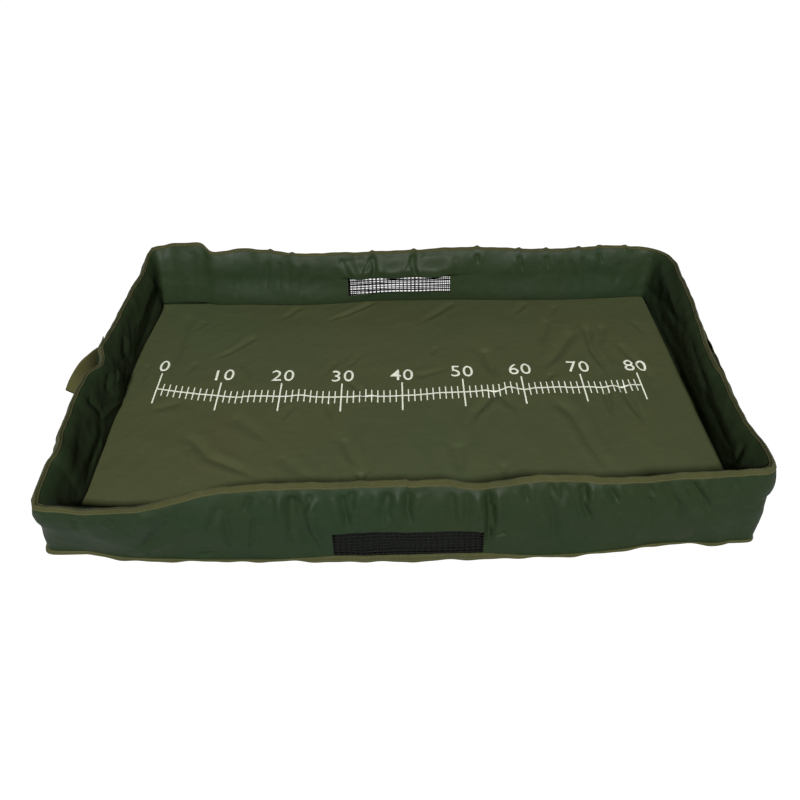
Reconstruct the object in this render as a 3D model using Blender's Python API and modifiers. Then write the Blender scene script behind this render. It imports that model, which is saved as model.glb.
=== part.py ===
"""A padded fishing mat: a ruled floor pad with four padded walls that fold down over it.

The frame is +X to the right along the ruler, +Y to the back and +Z up, in metres. The origin is the
middle of the underside. A place on a wall is given by three values: how far along the wall, how far
outwards from the edge of the floor, and the height above the ground.
"""

import math

import bmesh
import bpy
from mathutils import Matrix, Vector

# Floor pad
FLOOR_LENGTH = 0.924
FLOOR_WIDTH = 0.524
BASE_FOAM_HEIGHT = 0.027
FLOOR_CROWN = 0.006
CORNER_RADIUS = 0.025

# Sheet goods, and the least space between two pieces
CLOTH = 0.0012
TAPE = 0.0016
GAP = 0.0003
SEWN_SPACE = 0.0005

# Wall sections
WALL_HEIGHT = 0.130
WALL_LIFT = 0.0010
SEAM_OUT = 0.031
RIM_OUT = 0.019
RIM_IN = 0.013
OUTER_BULGE = 0.012
INNER_BULGE = 0.003
PUCKER = 0.0016
PUCKER_PITCH = 0.070
MITRE_SHARE = 0.78
CORNER_REACH = 0.004

# Edge tapes
RIM_DOME = 0.005
RIM_TAPE_DEPTH = 0.010
BASE_TAPE_HEIGHT = 0.008

# Drain windows in the middle of the long walls
WINDOW_LENGTH = 0.200
WINDOW_FOAM_MARGIN = 0.008
OUTER_WINDOW_LOW = 0.011
OUTER_WINDOW_HIGH = 0.056
INNER_WINDOW_LOW = 0.046
INNER_WINDOW_HIGH = 0.082
NET_STRAND = 0.0024
NET_THICKNESS = 0.0010
NET_COLUMNS = 9
NET_ROWS = 3

# Closing straps on the short walls
WEBBING_WIDTH = 0.030
WEBBING = 0.0018
STRAP_DROP = 0.0015
STRAP_SEWN_LENGTH = 0.026
LEFT_STRAP_LENGTH = 0.082
LEFT_STRAP_PLACE = 0.022
LEFT_STRAP_BOW = 0.002
LEFT_STRAP_FLARE_DEG = 3
LEFT_STRAP_TWIST_DEG = 80
RIGHT_STRAP_LENGTH = 0.240
RIGHT_STRAP_PLACE = 0.105
RIGHT_STRAP_BOW = 0.004
RIGHT_STRAP_FLARE_DEG = 1.5
RIGHT_STRAP_TWIST_DEG = 20
PATCH = 0.0014
PATCH_WIDTH = 0.024
HOOK_PATCH_LENGTH = 0.050
LOOP_PATCH_LENGTH = 0.110
PATCH_END_MARGIN = 0.006

# How finely the soft shapes are divided
FLOOR_COLUMNS = 16
FLOOR_ROWS = 10
WALL_STEPS_PER_PUCKER = 4
DOME_STEPS = 4
CORNER_LEAN_STEPS = 1
CORNER_ARC_STEPS = 5
SHORT_FOAM_STEPS = 4
HALF_FOAM_STEPS = 3
BASE_TAPE_STEPS = 6
STRAP_STEPS = 20
STRAP_COLUMNS = 5
CROWN_POWER = 4

# Heights that follow from the sizes above
FOAM_BOTTOM = CLOTH + GAP
FLOOR_TOP = FOAM_BOTTOM + BASE_FOAM_HEIGHT + GAP + CLOTH
RIM_TOP = WALL_HEIGHT - RIM_DOME
RIM_TAPE_LOW = RIM_TOP - RIM_TAPE_DEPTH
SEAM_Z = WALL_LIFT + CLOTH / 2
INNER_LOW = FLOOR_TOP + SEWN_SPACE

COLOURS = {
    "floor cloth": ((0.061, 0.072, 0.032), 0.55),
    "wall cloth": ((0.028, 0.045, 0.022), 0.50),
    "tape": ((0.085, 0.085, 0.035), 0.80),
    "net": ((0.012, 0.013, 0.011), 0.60),
    "foam": ((0.055, 0.055, 0.055), 0.90),
    "hook": ((0.030, 0.032, 0.024), 0.85),
    "loop": ((0.090, 0.095, 0.050), 0.95),
    "ground cloth": ((0.020, 0.026, 0.020), 0.60),
}


def corner_lean(height):
    """How far a corner's cloth reaches along each wall: further the higher it is over the floor."""
    return CORNER_REACH + MITRE_SHARE * max(height - FLOOR_TOP, 0)


class Wall:
    """One wall: the direction that it faces, its distance from the middle, and its half length."""

    def __init__(self, name, outward, distance, half_length, window):
        self.name = name
        self.outward = Vector(outward)
        self.along = Vector((-self.outward.y, self.outward.x, 0))
        self.distance = distance
        self.half_length = half_length
        self.window = window

    def point(self, along, out, height):
        return (
            self.along * along
            + self.outward * (self.distance + out)
            + Vector((0, 0, height))
        )

    def end(self, height):
        """Where the wall stops: its ends lean in, so that folded walls meet without touching."""
        return self.half_length - CORNER_RADIUS - corner_lean(height) - GAP


WALLS = [
    Wall("front", (0, -1, 0), FLOOR_WIDTH / 2, FLOOR_LENGTH / 2, True),
    Wall("right", (1, 0, 0), FLOOR_LENGTH / 2, FLOOR_WIDTH / 2, False),
    Wall("back", (0, 1, 0), FLOOR_WIDTH / 2, FLOOR_LENGTH / 2, True),
    Wall("left", (-1, 0, 0), FLOOR_LENGTH / 2, FLOOR_WIDTH / 2, False),
]


def share_between(value, low, high):
    return min(max((value - low) / (high - low), 0), 1)


def outer_out(height):
    """The middle of the outer cloth: a straight line from seam to rim, bowed out by a half sine."""
    share = share_between(height, SEAM_Z, RIM_TOP)
    return SEAM_OUT + (RIM_OUT - SEAM_OUT) * share + OUTER_BULGE * math.sin(math.pi * share)


def inner_out(height):
    """The middle of the inner cloth, bowed over the floor by a half sine."""
    share = share_between(height, FLOOR_TOP, RIM_TOP)
    return CLOTH / 2 + RIM_IN * share - INNER_BULGE * math.sin(math.pi * share)


def pucker_at(wall, along, height):
    """Folds under the rim tape: whole cosine waves between the wall's end and its window."""
    first = WINDOW_LENGTH / 2 if wall.window else 0
    last = wall.end(RIM_TOP)
    run = abs(along) - first
    if run <= 0 or abs(along) >= last:
        return 0
    waves = max(round((last - first) / PUCKER_PITCH), 1)
    wave = (1 - math.cos(2 * math.pi * waves * run / (last - first))) / 2
    rise = share_between(height, OUTER_WINDOW_LOW, RIM_TAPE_LOW)
    return PUCKER * wave * math.sin(math.pi * rise**2)


def outer_rows():
    """Heights of the rows of the outer cloth, with one on each edge of the window and the tape."""
    return [
        SEAM_Z,
        OUTER_WINDOW_LOW,
        (OUTER_WINDOW_LOW + OUTER_WINDOW_HIGH) / 2,
        OUTER_WINDOW_HIGH,
        (OUTER_WINDOW_HIGH + RIM_TAPE_LOW) / 2,
        RIM_TAPE_LOW,
        RIM_TOP,
    ]


def inner_rows():
    return [
        INNER_LOW,
        INNER_WINDOW_LOW,
        (INNER_WINDOW_LOW + INNER_WINDOW_HIGH) / 2,
        INNER_WINDOW_HIGH,
        RIM_TAPE_LOW,
        RIM_TOP,
    ]


def on_rows(rows, shape, height):
    """The value of a shape at a height on the straight facets between its rows."""
    for low, high in zip(rows[:-1], rows[1:]):
        if height <= high:
            break
    share = (height - low) / (high - low)
    return shape(low) * (1 - share) + shape(high) * share


def material(kind):
    found = bpy.data.materials.get(kind)
    if found:
        return found.copy()
    made = bpy.data.materials.new(kind)
    made.use_nodes = True
    shader = made.node_tree.nodes["Principled BSDF"]
    colour, roughness = COLOURS[kind]
    shader.inputs["Base Color"].default_value = (*colour, 1)
    shader.inputs["Roughness"].default_value = roughness
    shader.inputs["Metallic"].default_value = 0
    return made


def add_object(name, bm, kind):
    mesh = bpy.data.meshes.new(name)
    bm.to_mesh(mesh)
    bm.free()
    made = bpy.data.objects.new(name, mesh)
    made.data.materials.append(material(kind))
    PARTS.objects.link(made)
    return made


def grid(columns, rows, place):
    """A lattice whose vertex (column, row) is put at place(column value, row value)."""
    bm = bmesh.new()
    across, up = len(columns) - 1, len(rows) - 1
    bmesh.ops.create_grid(bm, x_segments=across, y_segments=up, size=1)
    for vert in bm.verts:
        column = columns[round((vert.co.x + 1) / 2 * across)]
        row = rows[round((vert.co.y + 1) / 2 * up)]
        vert.co = place(column, row)
    bm.normal_update()
    return bm


def sheet(name, bm, thickness, kind):
    """The surface given a thickness, half of it on each side."""
    made = add_object(name, bm, kind)
    solid = made.modifiers.new("Thickness", "SOLIDIFY")
    solid.thickness = thickness
    solid.offset = 0
    solid.use_even_offset = True
    made.data.shade_smooth()
    return made


def loft(name, sections, kind):
    """A solid through a row of closed sections with as many points each, with flat ends."""
    bm = bmesh.new()
    loops = [[bm.verts.new(point) for point in section] for section in sections]
    for first, second in zip(loops[:-1], loops[1:]):
        for n in range(len(first)):
            after = (n + 1) % len(first)
            bm.faces.new((first[n], first[after], second[after], second[n]))
    bm.faces.new(reversed(loops[0]))
    bm.faces.new(loops[-1])
    bmesh.ops.recalc_face_normals(bm, faces=bm.faces)
    return add_object(name, bm, kind)


def between(low, high, share):
    return low + (high - low) * share


def spread(low, high, steps):
    return [low + (high - low) * n / steps for n in range(steps + 1)]


def wall_columns(wall, fine):
    """Shares of the way along the wall, from -1 to 1, where a window's edges have a column each."""
    last = wall.end(RIM_TOP)
    first = WINDOW_LENGTH / 2 if wall.window else 0
    waves = max(round((last - first) / PUCKER_PITCH), 1)
    steps = waves * (WALL_STEPS_PER_PUCKER if fine else 2)
    side = [("side", share) for share in spread(0, 1, steps)]
    left = [(-1, share) for _, share in reversed(side)]
    right = [(1, share) for _, share in side]
    return left + right if wall.window else left + right[1:]


def column_along(wall, column, height):
    """Distance along the wall of a column: from the window's edge to the wall's leaning end."""
    sign, share = column
    first = WINDOW_LENGTH / 2 if wall.window else 0
    return sign * (first + (wall.end(height) - first) * share)


def cut_window(bm, wall, low, high):
    """Removes the faces between the window's edges, on a surface whose columns and rows meet them."""
    half = WINDOW_LENGTH / 2
    inside = []
    for face in bm.faces:
        middle = face.calc_center_median()
        if abs(middle.dot(wall.along)) < half and low < middle.z < high:
            inside.append(face)
    bmesh.ops.delete(bm, geom=inside, context="FACES")


def outer_cloth(wall):
    """The outer cloth: a lip under the foam, then up to the rim with its puckers."""
    lip = SEWN_SPACE

    def place(column, row):
        if row == "lip":
            return wall.point(column_along(wall, column, SEAM_Z), lip, SEAM_Z)
        along = column_along(wall, column, row)
        out = outer_out(row) + pucker_at(wall, along, row)
        return wall.point(along, out, row)

    bm = grid(wall_columns(wall, True), ["lip", *outer_rows()], place)
    if wall.window:
        cut_window(bm, wall, OUTER_WINDOW_LOW, OUTER_WINDOW_HIGH)
    sheet(f"{wall.name}_wall_outer_cloth", bm, CLOTH, "wall cloth")


def inner_cloth(wall):
    def place(column, row):
        return wall.point(column_along(wall, column, row), inner_out(row), row)

    bm = grid(wall_columns(wall, False), inner_rows(), place)
    if wall.window:
        cut_window(bm, wall, INNER_WINDOW_LOW, INNER_WINDOW_HIGH)
    sheet(f"{wall.name}_wall_inner_cloth", bm, CLOTH, "wall cloth")


def foam_section(wall, along_at):
    """One closed outline of the foam: up its outer face, then down its inner face."""
    clear = CLOTH / 2 + SEWN_SPACE
    low = SEAM_Z + clear
    top = RIM_TOP - SEWN_SPACE
    points = []
    for height in [low, *outer_rows()[1:-1], top]:
        out = on_rows(outer_rows(), outer_out, height) - clear
        points.append(wall.point(along_at(height), out, height))
    for height in reversed([low, FLOOR_TOP, *inner_rows()[1:-1], top]):
        out = on_rows(inner_rows(), inner_out, max(height, INNER_LOW)) + clear
        points.append(wall.point(along_at(height), out, height))
    return points


def wall_foams(wall):
    """One slab on a short wall. On a long wall two, which stop short of the drain window."""
    name = f"{wall.name}_wall_foam"
    if wall.window:
        first = WINDOW_LENGTH / 2 + WINDOW_FOAM_MARGIN
        for sign in (-1, 1):
            side = "right" if sign * wall.along.x > 0 else "left"
            half = [
                foam_section(wall, lambda z, q=q: sign * between(first, wall.end(z) - GAP, q))
                for q in spread(0, 1, HALF_FOAM_STEPS)
            ]
            loft(f"{name}_{side}", half, "foam")
        return
    whole = [
        foam_section(wall, lambda z, q=q: (wall.end(z) - GAP) * q)
        for q in spread(-1, 1, SHORT_FOAM_STEPS)
    ]
    loft(name, whole, "foam")


def tape_clear():
    """From the middle of the cloth to the middle of a tape that is sewn over it."""
    return CLOTH / 2 + GAP + TAPE / 2


def rim_path():
    """The rim tape's section: up the inner cloth, over the rim in a half ellipse, down outside."""
    inner = [
        (on_rows(inner_rows(), inner_out, height) - tape_clear(), height)
        for height in (RIM_TAPE_LOW, RIM_TOP)
    ]
    outer = [
        (on_rows(outer_rows(), outer_out, height) + tape_clear(), height)
        for height in (RIM_TOP, RIM_TAPE_LOW)
    ]
    middle = (inner[1][0] + outer[0][0]) / 2
    half = (outer[0][0] - inner[1][0]) / 2
    dome = []
    for turn in spread(0, math.pi, DOME_STEPS)[1:-1]:
        height = RIM_TOP + (RIM_DOME - TAPE / 2) * math.sin(turn)
        dome.append((middle - half * math.cos(turn), height))
    return inner + dome + outer


def rim_tape(wall):
    path = rim_path()

    def place(column, step):
        out, height = path[step]
        return wall.point(column_along(wall, column, height), out, height)

    bm = grid(wall_columns(wall, False), list(range(len(path))), place)
    sheet(f"{wall.name}_rim_tape", bm, TAPE, "tape")


def base_path():
    """The ground seam's tape, flat against the foot of the outer cloth."""
    heights = (SEAM_Z, SEAM_Z + BASE_TAPE_HEIGHT)
    return [
        (on_rows(outer_rows(), outer_out, height) + tape_clear(), height)
        for height in heights
    ]


def base_tape(wall):
    path = base_path()
    end = wall.end(0)

    def place(along, step):
        return wall.point(along, *path[step])

    bm = grid(spread(-end, end, BASE_TAPE_STEPS), [0, 1], place)
    sheet(f"{wall.name}_base_tape", bm, TAPE, "tape")


def drain_net(wall, side, rows, shape, low, high):
    """A net in the window: a lattice whose faces are drawn in, and their middles taken out."""
    half = WINDOW_LENGTH / 2 - GAP
    low, high = low + GAP, high - GAP

    def place(along, height):
        return wall.point(along, on_rows(rows, shape, height), height)

    bm = grid(spread(-half, half, NET_COLUMNS), spread(low, high, NET_ROWS), place)
    gaps = list(bm.faces)
    bmesh.ops.inset_individual(bm, faces=gaps, thickness=NET_STRAND / 2, use_even_offset=True)
    bmesh.ops.delete(bm, geom=gaps, context="FACES")
    sheet(f"{wall.name}_{side}_drain_net", bm, NET_THICKNESS, "net")


def corner_point(wall, after, stop, out, height):
    """A point on the way round a corner: off one wall's end, round an arc, to the next one's."""
    leg, share = stop
    lean = corner_lean(height) - GAP
    if leg == "leaving":
        return wall.point(wall.half_length - CORNER_RADIUS - lean * (1 - share), out, height)
    if leg == "arriving":
        return after.point(-(after.half_length - CORNER_RADIUS) + lean * share, out, height)
    turn = math.pi / 2 * share
    centre = wall.point(wall.half_length - CORNER_RADIUS, -CORNER_RADIUS, height)
    way = wall.outward * math.cos(turn) + wall.along * math.sin(turn)
    return centre + way * (CORNER_RADIUS + out)


def corner_stops():
    leaving = [("leaving", share) for share in spread(0, 1, CORNER_LEAN_STEPS)]
    arc = [("arc", share) for share in spread(0, 1, CORNER_ARC_STEPS)]
    arriving = [("arriving", share) for share in spread(0, 1, CORNER_LEAN_STEPS)]
    return leaving[:-1] + arc + arriving[1:]


def corner(wall, after):
    """The unpadded corner between two walls: outer cloth, inner cloth, and both tapes."""
    ends = sorted((wall.name, after.name), key=("front", "back", "left", "right").index)
    name = "_".join(ends) + "_corner"
    stops = corner_stops()

    def outer(stop, row):
        out = SEWN_SPACE if row == "lip" else outer_out(row)
        return corner_point(wall, after, stop, out, SEAM_Z if row == "lip" else row)

    def inner(stop, row):
        return corner_point(wall, after, stop, inner_out(row), row)

    sheet(f"{name}_outer_cloth", grid(stops, ["lip", *outer_rows()], outer), CLOTH, "wall cloth")
    sheet(f"{name}_inner_cloth", grid(stops, inner_rows(), inner), CLOTH, "wall cloth")
    for tape, path in (("rim_tape", rim_path()), ("base_tape", base_path())):

        def place(stop, step, path=path):
            return corner_point(wall, after, stop, *path[step])

        bm = grid(stops, list(range(len(path))), place)
        sheet(f"{name}_{tape}", bm, TAPE, "tape")


def floor_grid(height_at, inset):
    """A lattice over the floor, whose four corner points are pulled in to the corner radius."""
    half_x = FLOOR_LENGTH / 2 - inset
    half_y = FLOOR_WIDTH / 2 - inset
    inner_x, inner_y = half_x - CORNER_RADIUS, half_y - CORNER_RADIUS
    columns = [-half_x, *spread(-inner_x, inner_x, FLOOR_COLUMNS), half_x]
    rows = [-half_y, *spread(-inner_y, inner_y, FLOOR_ROWS), half_y]
    diagonal = CORNER_RADIUS * math.cos(math.pi / 4)

    def place(x, y):
        height = height_at(x, y)
        if abs(x) == half_x and abs(y) == half_y:
            x = math.copysign(inner_x + diagonal, x)
            y = math.copysign(inner_y + diagonal, y)
        return Vector((x, y, height))

    return grid(columns, rows, place)


def crown_at(x, y):
    """The pad's crown: flat on top and rounded down to nothing at the floor's edges."""
    across = 1 - min(abs(x) / (FLOOR_LENGTH / 2), 1) ** CROWN_POWER
    along = 1 - min(abs(y) / (FLOOR_WIDTH / 2), 1) ** CROWN_POWER
    return FLOOR_CROWN * across * along


def base():
    """The ground sheet, the foam slab with its crown, and the floor cloth over it."""
    edge = SEWN_SPACE
    ground = floor_grid(lambda x, y: CLOTH / 2, edge)
    bmesh.ops.dissolve_limit(
        ground, angle_limit=math.radians(1), verts=ground.verts, edges=ground.edges
    )
    sheet("ground_sheet", ground, CLOTH, "ground cloth")
    cloth = floor_grid(lambda x, y: FLOOR_TOP - CLOTH / 2 + crown_at(x, y), edge)
    sheet("floor_cloth", cloth, CLOTH, "floor cloth")
    foam = floor_grid(lambda x, y: FLOOR_TOP - CLOTH - GAP + crown_at(x, y), edge)
    top = list(foam.verts)
    bmesh.ops.extrude_face_region(foam, geom=list(foam.faces))
    for vert in set(foam.verts) - set(top):
        vert.co.z = FOAM_BOTTOM
    bmesh.ops.recalc_face_normals(foam, faces=foam.faces)
    add_object("base_foam", foam, "foam").data.shade_smooth()


def strap_seat(wall):
    """The strap's hinge line: it stands off the wall so that the webbing clears the wall's folds."""
    high = RIM_TAPE_LOW - STRAP_DROP
    low = high - WEBBING_WIDTH
    slope = (outer_out(low) - outer_out(high)) / WEBBING_WIDTH
    lean = math.atan(slope)
    clear = 0
    for height in spread(low, high, STRAP_STEPS):
        line = outer_out(low) - slope * (height - low)
        clear = max(clear, outer_out(height) - line)
    layers = (CLOTH / 2 + GAP + WEBBING) / math.cos(lean)
    return low, outer_out(low) + clear + PUCKER + layers, lean


class StrapShape:
    """How a strap's free length lies: its length, its bow off the wall and its whole twist."""

    def __init__(self, length, bow, twist_deg):
        self.length = length
        self.bow = bow
        self.twist = math.radians(twist_deg)

    def point(self, along, off, rise):
        """The cross-section turns about the strap's lower edge, further the nearer it is to the end."""
        share = share_between(along, 0, self.length)
        turn = self.twist * share
        across = off * math.cos(turn) + rise * math.sin(turn)
        up = rise * math.cos(turn) - off * math.sin(turn)
        return Vector((self.bow * math.sin(math.pi * share) + across, along, up))


def band(name, kind, place, shape, run, offs, rises):
    """A length of webbing or of patch: a loft through the cross-sections along a strap."""
    across = spread(*rises, STRAP_COLUMNS)
    outline = [(offs[0], rise) for rise in across] + [(offs[1], rise) for rise in reversed(across)]
    sections = [
        [shape.point(along, off, rise) for off, rise in outline]
        for along in spread(*run, STRAP_STEPS)
    ]
    loft(name, sections, kind).matrix_world = place


def strap(wall, place_y, shape, flare_deg, patch):
    """A webbing strap sewn to a short wall by its back end, with its own patch."""
    low, out, lean = strap_seat(wall)
    side = wall.outward.x
    seat = Matrix.Translation((side * (wall.distance + out), place_y, low))
    # Local +X faces off the wall, +Y runs forwards along the strap, and +Z goes up its width.
    lie = Matrix(
        (
            (side * math.cos(lean), 0, -side * math.sin(lean), 0),
            (0, -1, 0, 0),
            (math.sin(lean), 0, math.cos(lean), 0),
            (0, 0, 0, 1),
        )
    )
    flare = Matrix.Rotation(-math.radians(flare_deg), 4, "Z")
    # The strap bends about its outer face, so that it can lie back over its sewn end.
    faces, width = (-WEBBING, 0), (0, WEBBING_WIDTH)
    sewn = (-GAP - STRAP_SEWN_LENGTH, -GAP)
    band(f"{wall.name}_strap_sewn_end", "tape", seat @ lie, shape, sewn, faces, width)
    place = seat @ lie @ flare
    band(f"{wall.name}_strap", "tape", place, shape, (GAP, shape.length), faces, width)
    name, kind, patch_length, faces_out = patch
    patch_end = shape.length - PATCH_END_MARGIN
    near = GAP if faces_out else -WEBBING - GAP - PATCH
    margin = (WEBBING_WIDTH - PATCH_WIDTH) / 2
    run, rises = (patch_end - patch_length, patch_end), (margin, WEBBING_WIDTH - margin)
    band(name, kind, place, shape, run, (near, near + PATCH), rises)


def straps():
    left, right = WALLS[3], WALLS[1]
    hook = ("left_strap_hook_patch", "hook", HOOK_PATCH_LENGTH, True)
    loop = ("right_strap_loop_patch", "loop", LOOP_PATCH_LENGTH, False)
    short = StrapShape(LEFT_STRAP_LENGTH, LEFT_STRAP_BOW, LEFT_STRAP_TWIST_DEG)
    long = StrapShape(RIGHT_STRAP_LENGTH, RIGHT_STRAP_BOW, RIGHT_STRAP_TWIST_DEG)
    strap(left, LEFT_STRAP_PLACE, short, LEFT_STRAP_FLARE_DEG, hook)
    strap(right, RIGHT_STRAP_PLACE, long, RIGHT_STRAP_FLARE_DEG, loop)


for old in list(bpy.data.objects):
    bpy.data.objects.remove(old, do_unlink=True)
PARTS = bpy.data.collections.new("unhooking_mat")
bpy.context.scene.collection.children.link(PARTS)

base()
for number, one in enumerate(WALLS):
    outer_cloth(one)
    inner_cloth(one)
    wall_foams(one)
    rim_tape(one)
    base_tape(one)
    corner(one, WALLS[(number + 1) % len(WALLS)])
    if one.window:
        outer, inner = (outer_rows(), outer_out), (inner_rows(), inner_out)
        drain_net(one, "outer", *outer, OUTER_WINDOW_LOW, OUTER_WINDOW_HIGH)
        drain_net(one, "inner", *inner, INNER_WINDOW_LOW, INNER_WINDOW_HIGH)
straps()
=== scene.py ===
"""The looks of a padded fishing mat: nylon over foam, bound with webbing, with a printed ruler, net
drain windows and two closing straps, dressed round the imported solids.

A place on a wall is given as in the solids: how far along the wall, how far outwards from the edge of
the floor, and the height above the ground. "Round" is the distance round the mat, from the middle of
the front wall to the right. Lengths are metres, and millimetres in the tables that say so.
"""

import math
from functools import partial

import bmesh
import bpy
import numpy as np
from mathutils import Matrix, Vector


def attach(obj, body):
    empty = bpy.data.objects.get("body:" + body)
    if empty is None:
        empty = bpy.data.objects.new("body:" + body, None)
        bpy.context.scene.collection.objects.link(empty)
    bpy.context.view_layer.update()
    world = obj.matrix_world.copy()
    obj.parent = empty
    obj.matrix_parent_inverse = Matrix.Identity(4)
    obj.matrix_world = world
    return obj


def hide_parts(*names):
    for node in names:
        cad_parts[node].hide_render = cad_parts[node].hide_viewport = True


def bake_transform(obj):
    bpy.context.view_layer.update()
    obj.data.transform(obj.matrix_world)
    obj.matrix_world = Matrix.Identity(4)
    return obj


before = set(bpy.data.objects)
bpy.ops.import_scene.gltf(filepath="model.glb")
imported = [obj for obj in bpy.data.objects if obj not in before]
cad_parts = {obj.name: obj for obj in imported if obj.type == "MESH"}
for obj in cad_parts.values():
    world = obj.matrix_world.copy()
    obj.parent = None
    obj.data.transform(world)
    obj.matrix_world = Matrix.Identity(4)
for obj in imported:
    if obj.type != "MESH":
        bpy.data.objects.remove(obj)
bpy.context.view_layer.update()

# The mat's sizes. Its cloth, its tapes and its rim are slimmer than in the solids.
FLOOR_LENGTH, FLOOR_WIDTH, FLOOR_TOP = 0.924, 0.524, 0.0300
FLOOR_CROWN, CROWN_POWER = 0.006, 4
CORNER_RADIUS = 0.025
CLOTH, TAPE, GAP = 0.0008, 0.0009, 0.0002
WALL_HEIGHT = 0.130
SEAM_Z, SEAM_OUT = 0.0016, 0.031
RIM_MIDDLE, RIM_HALF, RIM_DOME = 0.0185, 0.0005, 0.0018
RIM_TOP = WALL_HEIGHT - RIM_DOME
INNER_LINE, INNER_LOW = 0.0080, 0.0260
OUTER_BULGE, INNER_BULGE = 0.010, 0.004
OUTER_SHOULDER, SHOULDER_POWER = 0.011, 7
MITRE_SHARE, CORNER_REACH = 0.78, 0.004
RIM_TAPE_DEPTH, INNER_TAPE_DEPTH, BASE_TAPE_HEIGHT = 0.0055, 0.0025, 0.0055
WINDOW, OUTER_WINDOW, INNER_WINDOW = 0.200, (0.011, 0.056), (0.048, 0.081)
INNER_WINDOW_START = -0.092
WEBBING_WIDTH, WEBBING = 0.030, 0.0018
STRAP_SEAT_LOW, STRAP_SEAT_OUT, STRAP_LEAN = 0.0835, 0.03647, math.radians(18.266)
STRAP_SEWN_LENGTH = 0.026

# How finely the cloth is divided, and how high up the walls' fold reaches full strength
CLOTH_PITCH, FLOOR_PITCH, CORNER_COLUMNS = 0.0021, 0.0028, 22
HEM_HEIGHT = 0.035


def share_between(value, low, high):
    return np.clip((value - low) / (high - low), 0, 1)


def smooth(share):
    """Smoothstep: 3 t^2 - 2 t^3, with t held between 0 and 1."""
    share = np.clip(share, 0, 1)
    return share * share * (3 - 2 * share)


def bell(value, width):
    return np.exp(-((value / width) ** 2))


def corner_lean(height):
    """How far before the corner a wall ends, which grows with height above the floor."""
    return CORNER_REACH + MITRE_SHARE * np.maximum(height - FLOOR_TOP, 0)


class Wall:
    def __init__(self, name, outward, distance, half_length, round_at, window=False):
        self.name = name
        self.body = f"{name}_wall"
        self.outward = np.array(outward, float)
        self.along = np.array((-outward[1], outward[0]), float)
        self.distance = distance
        self.straight = half_length - CORNER_RADIUS
        self.round_at = round_at
        self.window = window

    def foot(self, along):
        """The point on the floor's edge, on the ground plan."""
        return along[..., None] * self.along + self.outward * self.distance


ARC = CORNER_RADIUS * math.pi / 2
LONG, SHORT = FLOOR_LENGTH / 2, FLOOR_WIDTH / 2
ROUND_RIGHT = LONG - CORNER_RADIUS + ARC + SHORT - CORNER_RADIUS
ROUND_BACK, ROUND_LEFT, ROUND_WHOLE = 2 * ROUND_RIGHT, 3 * ROUND_RIGHT, 4 * ROUND_RIGHT
WALLS = {
    "front": Wall("front", (0, -1), SHORT, LONG, 0, True),
    "right": Wall("right", (1, 0), LONG, SHORT, ROUND_RIGHT),
    "back": Wall("back", (0, 1), SHORT, LONG, ROUND_BACK, True),
    "left": Wall("left", (-1, 0), LONG, SHORT, ROUND_LEFT),
}
CORNERS = {
    "front_right_corner": ("front", "right"),
    "back_right_corner": ("right", "back"),
    "back_left_corner": ("back", "left"),
    "front_left_corner": ("left", "front"),
}
# How square each corner is, as the power of its superellipse: at the ground, half way up, at the rim
CORNER_POWERS = {
    "front_right_corner": (8, 2.8, 5),
    "back_right_corner": (6, 4.5, 1.8),
    "back_left_corner": (6, 4.5, 8),
    "front_left_corner": (9, 3.0, 8),
}


class Run:
    """A lattice of places, rows of heights by columns round the mat: the foot of each on the floor's
    edge, its way outwards, its distance round the mat, and how far it follows its wall's fold. In a
    corner, bend is its two ends' distances round the mat, each place's turn, and the corner's name."""

    def __init__(self, foot, way, distance_round, height, follow, bend=None):
        self.foot = foot
        self.way = way
        self.bend = bend
        self.round = distance_round % ROUND_WHOLE
        self.height = height
        self.follow = follow

    def points(self, out, up):
        flat = self.foot + self.way * out[..., None]
        return np.concatenate([flat, up[..., None]], axis=-1)


def hem_follow(height):
    """A weight for how far the cloth goes with its wall: 0 at its foot on the ground seam, rising to 1
    above the hem.
    """
    return smooth(height / HEM_HEIGHT)


def straight_run(wall, along, height):
    """The run of places on one wall, given how far along it and how high they are."""
    way = np.broadcast_to(wall.outward, (*along.shape, 2))
    run = Run(wall.foot(along), way, wall.round_at + along, height.copy(), hem_follow(height))
    run.along = along
    return run


def wall_run(wall, heights, pitch=CLOTH_PITCH):
    """Columns from one leaning end of the wall to the other, with one on each edge of its window."""
    first = WINDOW / 2 if wall.window else 0
    shares = np.linspace(0, 1, max(int((wall.straight - first) / pitch), 8) + 1)
    heights = np.asarray(heights, float)[:, None]
    side = first + (wall.straight - corner_lean(heights) - first) * shares
    if wall.window:
        middle = np.linspace(-first, first, int(WINDOW / pitch) + 1)[1:-1]
        along = np.concatenate([-side[:, ::-1], np.tile(middle, (len(heights), 1)), side], axis=1)
    else:
        along = np.concatenate([-side[:, ::-1], side[:, 1:]], axis=1)
    return straight_run(wall, along, np.broadcast_to(heights, along.shape))


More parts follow.
